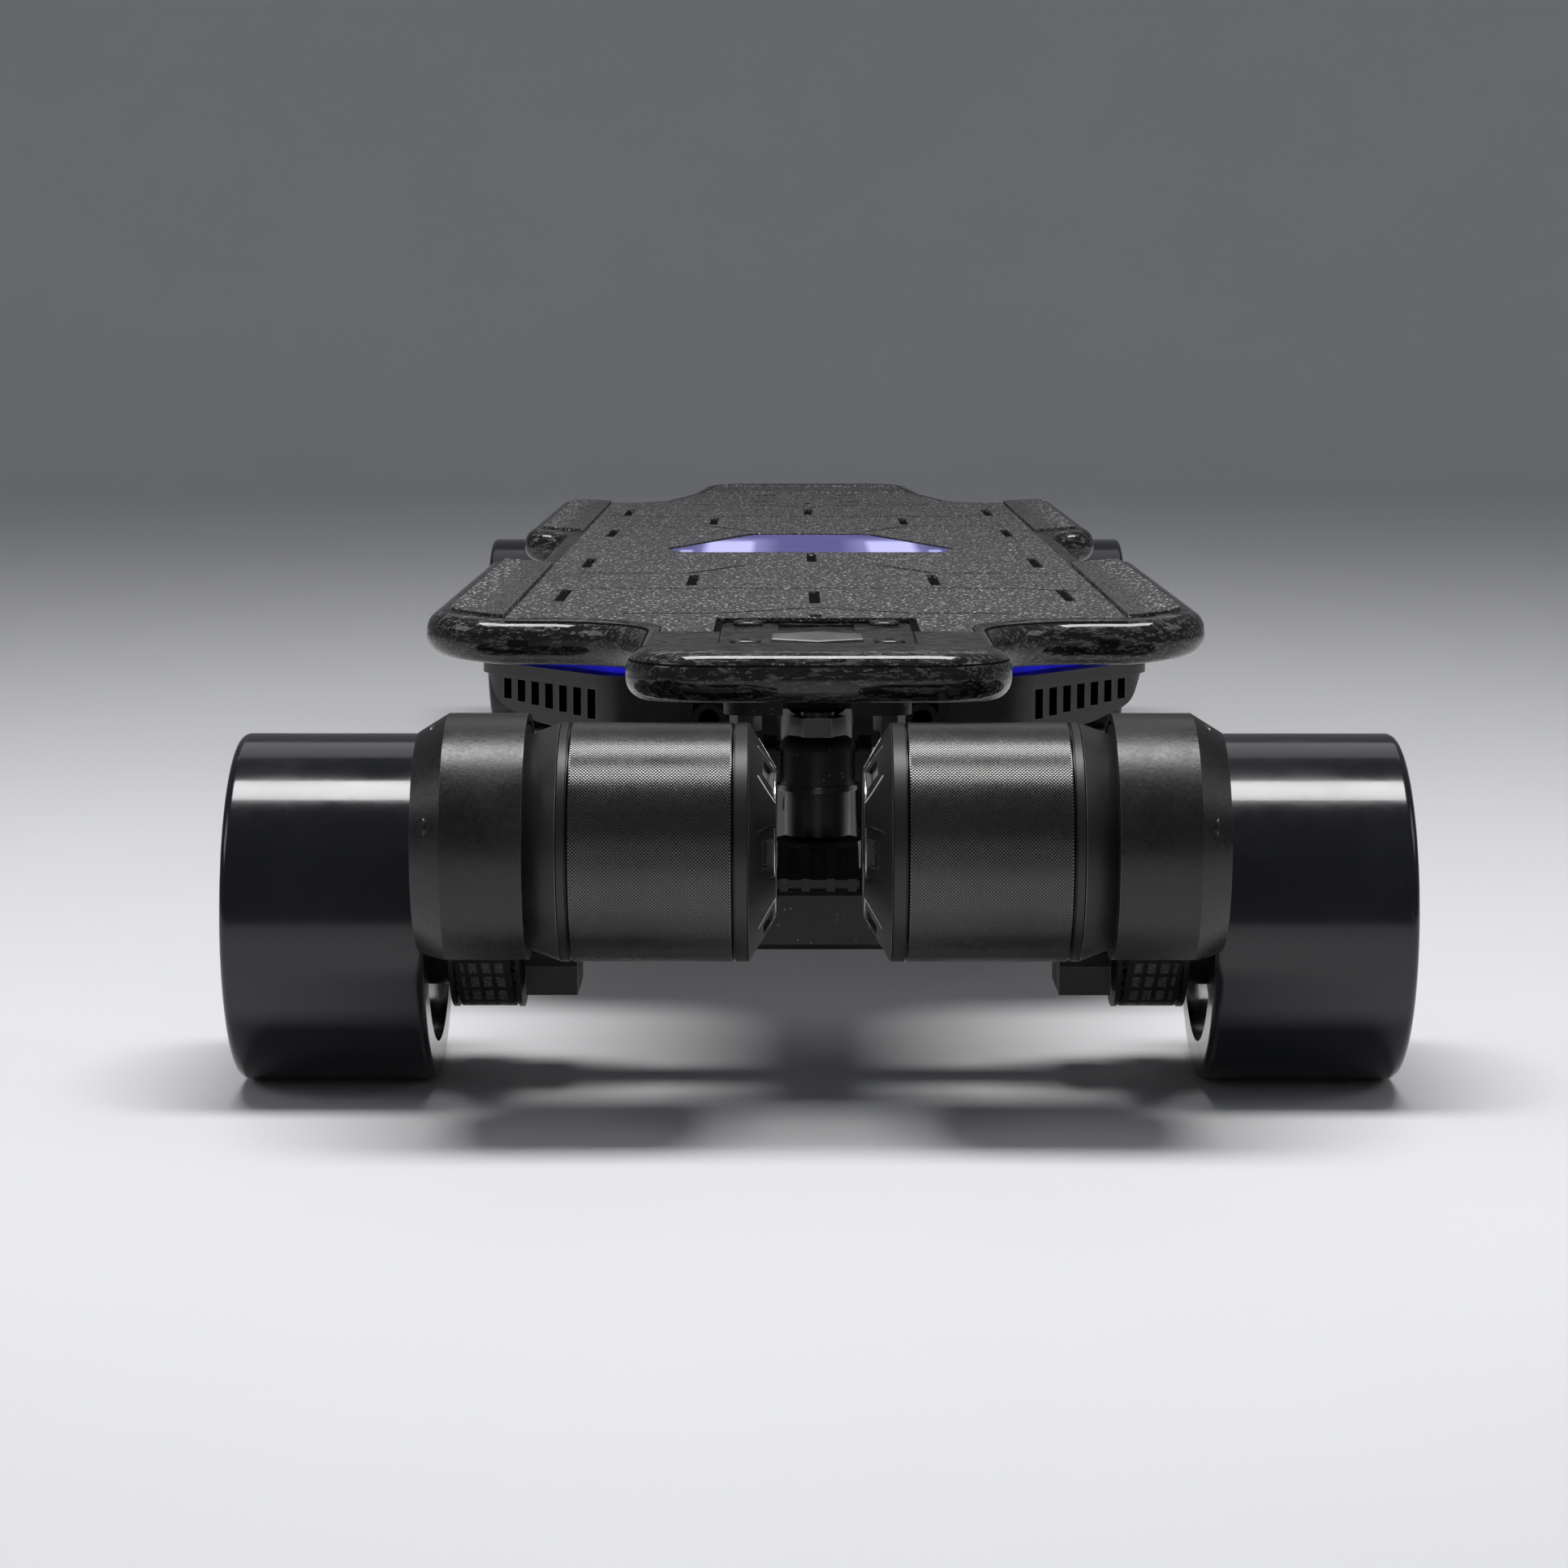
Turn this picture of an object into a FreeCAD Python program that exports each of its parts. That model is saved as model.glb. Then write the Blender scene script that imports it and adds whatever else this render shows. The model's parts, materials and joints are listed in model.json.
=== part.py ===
import FreeCAD, Part

import math
import os

# Electric skateboard. Millimetres. +X is the rider's right, +Y the nose, +Z up, and the ground is z = 0.

# Driving dimensions
deck_half_length = 486.0
deck_top = 121.2
deck_bottom = 107.0
seam_z = 114.1
rim_radius = 6.2
neck_half_width = 53.0
nose_base_half_width = 76.0
nose_tip_half_width = 52.0
nose_base_radius = 20.0
waist_half_width = 105.0
wing_half_width = 121.5
wing_inner_y = 96.0
wing_outer_y = 347.0
groove_x = 96.0
flare_angle = 4.5
kick_start_y = 428.0
kick_angle = 3.2
grip_thickness = 1.0
middle_top = 120.2

half_wheelbase = 442.0
wheel_radius = 48.5
wheel_inner_x = 106.5
wheel_outer_x = 161.5
truck_mount_y = 380.5
bolt_spacing_x = 41.3
bolt_spacing_y = 63.5
bolt_radius = 2.5

motor_back = 63.0
motor_up = 27.2
motor_radius = 31.5
cover_radius = 34.0
wheel_pulley_teeth = 34
motor_pulley_teeth = 16
belt_pitch = 5.0

axle_z = wheel_radius
motor_z = axle_z + motor_up
rear_reach = half_wheelbase + motor_back + cover_radius
front_reach = max(deck_half_length, half_wheelbase + wheel_radius)
mid_y = (rear_reach - front_reach) / 2.0
rear_axle_y = mid_y - half_wheelbase
front_axle_y = mid_y + half_wheelbase
motor_y = rear_axle_y - motor_back

plate_bottom = 100.0
plate_inner_y = 323.0
plate_outer_y = 422.0
riser_bottom = 105.0

nodes = {}


def vec(x, y, z):
    return FreeCAD.Vector(x, y, z)


def box(x0, x1, y0, y1, z0, z1):
    return Part.makeBox(x1 - x0, y1 - y0, z1 - z0, vec(x0, y0, z0))


def rod(radius, base, axis, length):
    return Part.makeCylinder(radius, length, vec(*base), vec(*axis))


def ring(outer, inner, base, axis, length):
    return rod(outer, base, axis, length).cut(rod(inner, base, axis, length))


def cone(radius_a, radius_b, base, axis, length):
    return Part.makeCone(radius_a, radius_b, length, vec(*base), vec(*axis))


def hexagon(across_flats, base, axis, length):
    """Six-sided prism, used for nuts and bolt heads."""
    radius = across_flats / math.sqrt(3.0)
    steps = [math.radians(60 * k) for k in range(7)]
    points = [vec(radius * math.cos(a), radius * math.sin(a), 0) for a in steps]
    prism = Part.Face(Part.makePolygon(points)).extrude(vec(0, 0, length))
    return place(prism, base, axis)


def place(shape, base, axis):
    """Turn a shape built up +Z so that it runs along axis from base."""
    moved = shape.copy()
    turn = FreeCAD.Rotation(vec(0, 0, 1), vec(*axis))
    moved.Placement = FreeCAD.Placement(vec(*base), turn).multiply(moved.Placement)
    return moved


def turned(shape, centre, axis, degrees):
    moved = shape.copy()
    moved.rotate(vec(*centre), vec(*axis), degrees)
    return moved


def mirror_x(shape):
    return shape.mirror(vec(0, 0, 0), vec(1, 0, 0))


def mirror_y(shape):
    """Mirror front to back about the middle of the deck."""
    return shape.mirror(vec(0, mid_y, 0), vec(0, 1, 0))


def outline(corners):
    """Closed flat wire through (x, y, radius) corners, each rounded by a tangent arc."""
    starts = []
    ends = []
    arcs = []
    count = len(corners)
    for k in range(count):
        x, y, radius = corners[k]
        here = vec(x, y, 0)
        back = vec(corners[k - 1][0], corners[k - 1][1], 0) - here
        ahead = vec(corners[(k + 1) % count][0], corners[(k + 1) % count][1], 0) - here
        back.normalize()
        ahead.normalize()
        half = back.getAngle(ahead) / 2.0
        reach = radius / math.tan(half)
        bisector = back + ahead
        bisector.normalize()
        first = here + back * reach
        last = here + ahead * reach
        middle = here + bisector * (radius / math.sin(half) - radius)
        starts.append(first)
        ends.append(last)
        arcs.append(Part.Arc(first, middle, last).toShape() if radius > 0 else None)
    edges = []
    for k in range(count):
        if arcs[k] is not None:
            edges.append(arcs[k])
        follow = starts[(k + 1) % count]
        if (follow - ends[k]).Length > 0.001:
            edges.append(Part.LineSegment(ends[k], follow).toShape())
    return Part.Wire(edges)


def slab(corners, z0, z1):
    flat = Part.Face(outline(corners))
    flat.translate(vec(0, 0, z0))
    return flat.extrude(vec(0, 0, z1 - z0))


def edges_at(shape, z):
    """The edges of a slab that lie in the level z."""
    found = []
    for edge in shape.Edges:
        bounds = edge.BoundBox
        if abs(bounds.ZMin - z) < 0.001 and abs(bounds.ZMax - z) < 0.001:
            found.append(edge)
    return found


def join(shapes):
    result = shapes[0]
    for shape in shapes[1:]:
        result = result.fuse(shape)
    return result.removeSplitter()


def group(shapes):
    return Part.makeCompound(shapes)


def add(name, shape):
    nodes[name] = shape


def deck_corners(grow):
    """Deck outline, grown outwards by grow. The ends are alike but for the nose, which tapers."""
    waist = waist_half_width + grow
    wing = wing_half_width + grow
    inner = wing_inner_y - grow
    outer = wing_outer_y + grow
    tip = deck_half_length + grow
    quarter = [(waist, inner, 7.0 - grow), (wing, inner, 9.0 + grow), (wing, outer, 25.0 + grow)]
    nose = [(nose_base_half_width + grow, outer, nose_base_radius - grow),
            (nose_tip_half_width + grow, tip, 24.0 + grow)]
    tail = [(neck_half_width + grow, outer, 30.0 - grow), (neck_half_width + grow, tip, 24.0 + grow)]
    front = quarter + nose
    rear = quarter + tail
    front_right = [(x, mid_y + y, r) for x, y, r in front]
    front_left = [(-x, mid_y + y, r) for x, y, r in reversed(front)]
    rear_left = [(-x, mid_y - y, r) for x, y, r in rear]
    rear_right = [(x, mid_y - y, r) for x, y, r in reversed(rear)]
    return front_right + front_left + rear_left + rear_right


def flare(shape, side):
    """Tilt a wing up about the line where it meets the flat of the deck."""
    return turned(shape, (side * groove_x, 0, deck_bottom), (0, 1, 0), -side * flare_angle)


def folded(shape, outside, pivot, axis, angle):
    """Tilt what lies in a box about its edge.

    The two parts are cut on planes half the tilt from upright, so that they meet as a mitre.
    """
    kept = shape.cut(turned(outside, pivot, axis, angle / 2))
    moved = shape.common(turned(outside, pivot, axis, -angle / 2))
    return join([kept] + [turned(piece, pivot, axis, angle) for piece in moved.Solids])


def bent_slab(flat):
    """Keep the middle of a deck slab level, tilt the wings up outside the grooves and lift both tips."""
    far = 700.0
    bent = flat
    for side in (-1, 1):
        outside = box(groove_x, 200, -far, far, 0, 200)
        if side < 0:
            outside = mirror_x(outside)
        bent = folded(bent, outside, (side * groove_x, 0, deck_bottom), (0, 1, 0), -side * flare_angle)
    for end in (-1, 1):
        start = mid_y + end * kick_start_y
        outside = box(-200, 200, min(start, end * far), max(start, end * far), 0, 200)
        bent = folded(bent, outside, (0, start, deck_bottom), (1, 0, 0), end * kick_angle)
    return bent


# Deck: two bonded half shells, so the rim is a full round with a seam at its middle
recess_half_width = 28.5
recess_floor = 119.6
recess_inner_y = 342.0
recess_outer_y = 418.0
recess_ramp = 14.0
panel_half_width = 11.5
panel_inner_y = 346.0
panel_outer_y = 369.0
panel_depth = 0.7
grip_inset = 7.0
grip_end_y = 388.0
nose_grip_y = 474.0
pocket_gap = 0.5
groove_width = 1.8
window_half_width = 56.0
window_far_half_width = 24.0
window_tip_y = 22.0
window_rear_y = -30.0
window_front_y = 88.0
window_depth = 3.2
head_radius = 4.6
head_height = 1.5
bolt_bottom = 92.0
both_ends = (-1, 1)
both_sides = (-1, 1)


def bolt_places():
    places = []
    for end in both_ends:
        for side in both_sides:
            for step in (-0.5, 0.5):
                y = mid_y + end * truck_mount_y + step * bolt_spacing_y
                places.append((side * bolt_spacing_x / 2.0, y))
    return places


def end_box(half_width, inner_y, outer_y, z0, z1, end):
    """Box across the deck at one end, between two distances from its middle."""
    near = mid_y + end * inner_y
    far = mid_y + end * outer_y
    return box(-half_width, half_width, min(near, far), max(near, far), z0, z1)


def recess():
    """Sunken mounting land at the tail, with a small panel in it and a ramp towards the tip."""
    land = end_box(recess_half_width, recess_inner_y, recess_outer_y, recess_floor, deck_top + 5, -1)
    panel = end_box(panel_half_width, panel_inner_y, panel_outer_y, recess_floor - panel_depth,
                    deck_top + 5, -1)
    tip = mid_y - recess_outer_y
    ramp = Part.makePolygon([vec(0, tip, recess_floor), vec(0, tip, deck_top + 1),
                             vec(0, tip - recess_ramp, deck_top + 1), vec(0, tip, recess_floor)])
    wedge = Part.Face(ramp).extrude(vec(2 * recess_half_width, 0, 0))
    wedge.translate(vec(-recess_half_width, 0, 0))
    return land.fuse(panel).fuse(wedge)


def middle_slab(inset, past_end, z0, z1):
    """Flat of the deck between the grooves, short of the tail and up over the nose's kick."""
    half = groove_x - groove_width / 2
    middle = slab(deck_corners(-inset), z0, z1)
    rear = mid_y - grip_end_y - past_end
    front = mid_y + nose_grip_y + past_end
    middle = middle.common(box(-half, half, rear, front, 0, 200))
    start = mid_y + kick_start_y
    tip = box(-200, 200, start, start + 200, 0, 200)
    return folded(middle, tip, (0, start, deck_bottom), (1, 0, 0), kick_angle)


def grip_pocket():
    """Shallow pocket in which the middle grip sheet is laid."""
    return middle_slab(grip_inset - pocket_gap, pocket_gap, middle_top, deck_top + 5)


def window(grow, z0, z1):
    """Six-sided light window in the middle of the deck, narrower towards the nose."""
    near = window_rear_y - grow
    tip = window_rear_y + window_tip_y
    right = [(window_half_width - 6 + grow, near, 5), (window_half_width + grow, tip, 5),
             (window_far_half_width + grow, window_front_y + grow, 8)]
    corners = right + [(-x, y, r) for x, y, r in reversed(right)]
    return slab([(x, mid_y + y, r) for x, y, r in corners], z0, z1)


def deck_top_shell():
    flat = slab(deck_corners(0), seam_z, deck_top)
    flat = flat.makeFillet(rim_radius, edges_at(flat, deck_top))
    shell = bent_slab(flat)
    shell = shell.cut(grip_pocket()).cut(recess())
    shell = shell.cut(window(0, middle_top - window_depth, deck_top + 5))
    for x, y in bolt_places():
        shell = shell.cut(rod(bolt_radius + 0.2, (x, y, seam_z - 1), (0, 0, 1), 10))
        shell = shell.cut(rod(head_radius + 0.3, (x, y, recess_floor), (0, 0, 1), 10))
    add("deck_top_shell", shell)


def deck_bottom_shell():
    flat = slab(deck_corners(0), deck_bottom, seam_z)
    flat = flat.makeFillet(rim_radius, edges_at(flat, deck_bottom))
    shell = bent_slab(flat)
    for x, y in bolt_places():
        shell = shell.cut(rod(bolt_radius + 0.2, (x, y, deck_bottom - 1), (0, 0, 1), 10))
    for x, y in screw_places():
        shell = shell.cut(rod(1.6, (x, y, deck_bottom - 1), (0, 0, 1), 4.0))
    add("deck_bottom_shell", shell)


# Grip: one sheet on the middle and one on each wing, with slots and shallow seam lines
slot_length = 50.0
short_slot_length = 10.0
slot_width = 3.6
slot_places = [(0, 258), (0, 62), (0, 332), (42, 180), (83, 250), (83, 92)]
line_width = 2.4
line_depth = 0.6
line_runs = [(0, 300, 30, 322), (30, 322, 60, 322), (0, 219, 70, 219), (70, 219, 88, 232),
             (24, 104, 44, 146), (44, 146, 88, 146)]


def grip_slots():
    """Slots right through the middle grip; the ones beside the window are at its rear only."""
    slots = []
    for x, y in slot_places:
        for side in both_sides:
            for end in both_ends:
                if end > 0 and y < window_front_y:
                    continue
                long = short_slot_length if y > recess_inner_y - slot_length / 2 else slot_length
                cx = side * x
                cy = mid_y + end * y
                slots.append(box(cx - slot_width / 2, cx + slot_width / 2,
                                 cy - long / 2, cy + long / 2, middle_top - 1, deck_top + 4))
    return slots


def grip_line(x0, y0, x1, y1):
    """Shallow straight groove from one point to another on the grip's upper face."""
    length = math.hypot(x1 - x0, y1 - y0)
    top = middle_top + grip_thickness
    groove = box(0, length, -line_width / 2, line_width / 2, top - line_depth, top + 1)
    groove.rotate(vec(0, 0, 0), vec(0, 0, 1), math.degrees(math.atan2(y1 - y0, x1 - x0)))
    groove.translate(vec(x0, mid_y + y0, 0))
    return groove


def grip_lines():
    lines = []
    for x0, y0, x1, y1 in line_runs:
        for side in both_sides:
            for end in both_ends:
                lines.append(grip_line(side * x0, end * y0, side * x1, end * y1))
    return lines


def middle_grip():
    sheet = middle_slab(grip_inset, 0, middle_top, middle_top + grip_thickness)
    sheet = sheet.common(box(pocket_gap - groove_x, groove_x - pocket_gap, -600, 600, 0, 200))
    sheet = sheet.cut(end_box(recess_half_width + 2, recess_inner_y - 2, 500, 0, 200, -1))
    sheet = sheet.cut(window(1.0, 0, 200))
    for x, y in bolt_places():
        sheet = sheet.cut(rod(head_radius + 0.8, (x, y, middle_top - 1), (0, 0, 1), 5))
    for cutter in grip_slots() + grip_lines():
        sheet = sheet.cut(cutter)
    return sheet


def grips():
    add("grip_centre", group(middle_grip().Solids))
    sheet = slab(deck_corners(-grip_inset), deck_top, deck_top + grip_thickness)
    wings = []
    for side in both_sides:
        outside = box(groove_x + groove_width / 2, 200, -600, 600, 0, 200)
        if side < 0:
            outside = mirror_x(outside)
        outside = outside.cut(box(-200, 200, mid_y - wing_inner_y - 7, mid_y + wing_inner_y + 7, 0, 200))
        for wing in sheet.common(outside).Solids:
            wings.append(flare(wing, side))
    add("grip_wings", group(wings))


badge_y = 395.0
badge_width = 26.5
badge_height = 0.9


def badge():
    """Plain six-sided badge bonded on the tail's mounting land."""
    plate = hexagon(badge_width, (0, 0, 0), (0, 0, 1), badge_height)
    plate = turned(plate, (0, 0, 0), (0, 0, 1), 90)
    plate = plate.makeChamfer(0.35, edges_at(plate, badge_height))
    plate.translate(vec(0, mid_y - badge_y, recess_floor))
    add("tail_badge", plate)


lens_rise = 0.6
lens_thickness = 2.2
board_thickness = 1.0
chip_pitch = 9.0
chip_rows = (26.0, 52.0)
chip_half = 1.5
chip_height = 0.5


def deck_light():
    """Frosted window with its lamp board, on which two rows of lamp chips face up."""
    lens_top = middle_top + lens_rise
    lens = window(-0.25, lens_top - lens_thickness, lens_top)
    add("led_lens", lens.makeChamfer(0.4, edges_at(lens, lens_top)))
    board_top = middle_top - window_depth + board_thickness
    board = window(-0.25, middle_top - window_depth, board_top)
    chips = []
    for k in range(-4, 5):
        for row in chip_rows:
            x = k * chip_pitch
            y = mid_y + window_rear_y + row
            chips.append(box(x - chip_half, x + chip_half, y - chip_half, y + chip_half,
                             board_top - 0.1, board_top + chip_height))
    add("led_board", join([board] + chips))


def truck_bolts():
    pieces = []
    for x, y in bolt_places():
        head = rod(head_radius, (x, y, recess_floor), (0, 0, 1), head_height)
        head = head.makeFillet(1.0, edges_at(head, recess_floor + head_height))
        socket = hexagon(3.0, (x, y, recess_floor + 0.3), (0, 0, 1), 3)
        shank = rod(bolt_radius, (x, y, bolt_bottom), (0, 0, 1), recess_floor - bolt_bottom)
        pieces.append(shank.fuse(head).cut(socket))
        nut = hexagon(8.0, (x, y, plate_bottom - 5.2), (0, 0, 1), 5.2)
        pieces.append(nut.cut(rod(bolt_radius, (x, y, plate_bottom - 6), (0, 0, 1), 8)))
    add("truck_bolts", group(pieces))


# Enclosure under the deck
gasket_bottom = 103.8
tray_half_width = 109.0
tray_half_length = 316.0
tray_wall = 2.6
lip_top = 100.8
lip_bottom = 96.8
lip_reach = 1.5
shelf_bottom = 98.2
upstand_inset = 11.3
corner_side_y = 262.0
corner_end_x = 65.0
tray_profile = [(50, 78.3, 25), (90, 83, 20), (103.5, 87.3, 8), (109, lip_top, 0)]


def upright(corners, y0, y1):
    """Prism along Y from corners given as (x, z, radius)."""
    flat = Part.Face(outline(corners))
    flat.rotate(vec(0, 0, 0), vec(1, 0, 0), 90)
    flat.translate(vec(0, y0, 0))
    return flat.extrude(vec(0, y1 - y0, 0))


def full_profile(shrink):
    """Cross-section of the tray, shrunk on its sides and belly, with its top at the lip's level."""
    right = [(x - shrink, z + shrink, r) for x, z, r in tray_profile]
    right[-1] = (right[-1][0], lip_top, 0)
    left = [(-x, z, r) for x, z, r in reversed(right)]
    return right + left


def tray_corner(inset):
    """Where the slanting corner of the tray's plan meets its side and its end, moved in by inset."""
    run = tray_half_length - corner_side_y
    rise = tray_half_width - corner_end_x
    slant = math.hypot(run, rise)
    side_y = corner_side_y - inset * (slant - run) / rise
    end_x = corner_end_x - inset * (slant - rise) / run
    return side_y, end_x


def tray_plan(inset, z0, z1):
    """Slab of the tray's plan: a long rectangle with slanting corners."""
    side_y, end_x = tray_corner(inset)
    wide = tray_half_width - inset
    long = tray_half_length - inset
    quarter = [(wide, side_y, 20), (end_x, long, 14)]
    front = [(x, mid_y + y, r) for x, y, r in quarter]
    front += [(-x, mid_y + y, r) for x, y, r in reversed(quarter)]
    rear = [(-x, mid_y - y, r) for x, y, r in quarter]
    rear += [(x, mid_y - y, r) for x, y, r in reversed(quarter)]
    return slab(front + rear, z0, z1)


vent_count = 7
vent_pitch = 4.85
vent_width = 2.7
vent_first_x = 70.8
vent_top = 95.8
vent_bottom = 86.4
vent_climb = 0.096


def vent_slots():
    """Upright slots through the slanting rear corners, whose lower ends follow the belly's curve."""
    side_y, end_x = tray_corner(lip_reach)
    slope = (tray_half_length - lip_reach - side_y) / (tray_half_width - lip_reach - end_x)
    slots = []
    for k in range(vent_count):
        x = vent_first_x + k * vent_pitch
        wall_y = mid_y - side_y - (tray_half_width - lip_reach - x) * slope
        low = vent_bottom + vent_climb * (x - vent_first_x)
        for side in both_sides:
            slots.append(box(side * x - vent_width / 2, side * x + vent_width / 2,
                             wall_y - 4, wall_y + 8, low, vent_top))
    return slots


def enclosure_tray():
    y0 = mid_y - tray_half_length
    y1 = mid_y + tray_half_length
    tub = upright(full_profile(0), y0, y1).common(tray_plan(lip_reach, 0, 200))
    tub = tub.fuse(tray_plan(0, lip_bottom, lip_top))
    tub = tub.fuse(tray_plan(upstand_inset, shelf_bottom, gasket_bottom))
    hollow = upright(full_profile(tray_wall), y0, y1)
    hollow = hollow.common(tray_plan(lip_reach + tray_wall, 0, shelf_bottom))
    tub = tub.cut(hollow).cut(tray_plan(upstand_inset + tray_wall, shelf_bottom - 2, 200))
    for slot in vent_slots():
        tub = tub.cut(slot)
    for x in (-gland_x, gland_x):
        tub = tub.cut(rod(gland_radius - 1.0, (x, y0, gland_z), (0, 1, 0), 6))
    for x, y in screw_places():
        tub = tub.fuse(rod(5.5, (x, y, screw_seat - 1.4), (0, 0, 1), gasket_bottom - screw_seat + 1.4))
    for x, y in screw_places():
        tub = tub.cut(rod(3.6, (x, y, screw_seat - 8), (0, 0, 1), 8))
        tub = tub.cut(rod(1.6, (x, y, screw_seat - 8), (0, 0, 1), 30))
    tub = tub.cut(rod(button_radius + 0.3, (button_x, y1 - 6, button_z), (0, 1, 0), 12))
    tub = tub.cut(rod(port_radius, (-button_x, y1 - 6, button_z), (0, 1, 0), 12))
    add("enclosure_tray", tub)


gland_x = 33.4
gland_z = 87.5
gland_radius = 5.2
gland_bore = 3.3
button_x = -46.0
button_z = 87.4
button_radius = 5.0
port_radius = 5.5


screw_seat = 84.0
screw_pitch = 84.0
strip_inset = 8.8
strip_width = 2.2


def enclosure_seal():
    seal = tray_plan(upstand_inset, gasket_bottom, deck_bottom)
    for x, y in screw_places():
        seal = seal.cut(rod(1.6, (x, y, 100), (0, 0, 1), 10))
    add("enclosure_gasket", seal)


def screw_places():
    places = []
    for side in both_sides:
        for k in range(-3, 4):
            places.append((side * 84.0, mid_y + k * screw_pitch))
    return places


def enclosure_screws():
    """Pan-head screws up through the tray's flanks."""
    screws = []
    for x, y in screw_places():
        head = rod(3.2, (x, y, screw_seat - 2.2), (0, 0, 1), 2.2)
        shank = rod(1.5, (x, y, screw_seat - 1), (0, 0, 1), 26.5)
        socket = hexagon(2.5, (x, y, screw_seat - 3), (0, 0, 1), 2.0)
        screws.append(head.fuse(shank).cut(socket))
    add("enclosure_screws", group(screws))


def underglow():
    """Light strip round the edge of the enclosure, in two mirrored halves."""
    loop = tray_plan(strip_inset, lip_top, deck_bottom - 0.2)
    loop = loop.cut(tray_plan(strip_inset + strip_width, 0, 200))
    loop = loop.cut(box(-46, 46, -600, 600, 0, 200))
    add("underglow_strips", group(loop.Solids))


# Inside the enclosure
def battery():
    """Lithium cells lying along the board, seven across and five deep, under a connection board."""
    cell_radius = 9.0
    cell_length = 65.0
    row_pitch = 67.0
    column_pitch = 18.4
    level = 84.4 + cell_radius
    first_y = mid_y - 80.0
    cells = []
    for row in range(5):
        for column in range(-3, 4):
            start = (column * column_pitch, first_y + row * row_pitch, level)
            cells.append(rod(cell_radius, start, (0, 1, 0), cell_length))
    top = level + cell_radius
    board = box(-60, 60, first_y + 4, first_y + 4 * row_pitch + cell_length - 4, top + 0.1, top + 1.1)
    add("battery_pack", group(cells + [board]))


def electronics():
    """Motor controller with a finned heat sink, a radio board and a power switch board."""
    base = box(-50, 50, mid_y - 268, mid_y - 128, 82.4, 85.4)
    fins = []
    for k in range(10):
        x = -48.0 + k * 10.2
        fins.append(box(x, x + 3.0, mid_y - 266, mid_y - 130, 85.0, 92.0))
    controller = join([base] + fins)
    board = box(-50, 50, mid_y - 264, mid_y - 132, 92.0, 93.8)
    caps = []
    for k in range(4):
        caps.append(rod(4.5, (-39.0 + k * 26, mid_y - 250, 93.8), (0, 0, 1), 8.5))
    radio = box(-30, 30, mid_y - 118, mid_y - 92, 84, 86)
    chip = box(-8, 8, mid_y - 112, mid_y - 98, 86, 88.2)
    add("electronics", group([controller, join([board] + caps), join([radio, chip])]))


def power_button():
    """Domed push button in the front wall, with a collar behind the wall."""
    face_y = mid_y + tray_half_length - lip_reach
    stem = rod(button_radius, (button_x, face_y - 7, button_z), (0, 1, 0), 9.2)
    stem = stem.makeFillet(1.0, [stem.Edges[edge_index_far(stem, 1)]])
    collar = rod(button_radius + 1.4, (button_x, face_y - 8.4, button_z), (0, 1, 0), 1.6)
    add("power_button", stem.fuse(collar).removeSplitter())


def edge_index_far(shape, axis):
    """Index of the round edge that lies furthest along an axis."""
    best = 0
    far = -1e9
    for k, edge in enumerate(shape.Edges):
        if edge.Curve.TypeId != "Part::GeomCircle":
            continue
        place_along = edge.CenterOfMass[axis]
        if place_along > far:
            far = place_along
            best = k
    return best


cover_hinge_z = button_z + 7.9
cover_hinge_offset = 3.4


def charge_port():
    face_y = mid_y + tray_half_length - lip_reach
    x = -button_x
    socket = ring(port_radius - 0.1, 3.6, (x, face_y - 10, button_z), (0, 1, 0), 10.5)
    back = rod(port_radius - 0.1, (x, face_y - 11.5, button_z), (0, 1, 0), 1.6)
    flange = ring(port_radius + 1.6, 3.6, (x, face_y + 0.1, button_z), (0, 1, 0), 0.8)
    pins = []
    for dx in (-1.4, 0, 1.4):
        pins.append(rod(0.45, (x + dx, face_y - 10.5, button_z + abs(dx)), (0, 1, 0), 3.5))
    ears = []
    for side in both_sides:
        x0 = x + side * 6.0 - 1.2
        ear = box(x0, x0 + 2.4, face_y + 0.1, face_y + 5.2, button_z + 6.4, button_z + 9.4)
        hole = rod(0.95, (x0 - 1, face_y + cover_hinge_offset, cover_hinge_z), (1, 0, 0), 5)
        ears.append(ear.cut(hole))
    bridge = box(x - 7.2, x + 7.2, face_y + 0.1, face_y + 0.7, button_z + 5.6, button_z + 9.4)
    add("charge_port", join([socket, back, flange, bridge] + pins + ears))


def charge_cover():
    """Hinged cap over the charge socket, with its pin and a finger tab."""
    face_y = mid_y + tray_half_length - lip_reach
    x = -button_x
    lid = rod(port_radius + 1.8, (x, face_y + 1.1, button_z), (0, 1, 0), 1.6)
    arm = box(x - 4.2, x + 4.2, face_y + 1.1, face_y + 2.7, button_z, button_z + 6.8)
    barrel = rod(1.5, (x - 4.4, face_y + cover_hinge_offset, cover_hinge_z), (1, 0, 0), 8.8)
    pin = rod(0.9, (x - 7.2, face_y + cover_hinge_offset, cover_hinge_z), (1, 0, 0), 14.4)
    web = box(x - 4.2, x + 4.2, face_y + 1.3, face_y + 3.6, button_z + 6.0, button_z + 7.4)
    tab = box(x - 2.5, x + 2.5, face_y + 1.1, face_y + 2.7, button_z - 9.0, button_z)
    add("charge_cover", join([lid, arm, web, barrel, pin, tab]))


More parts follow.
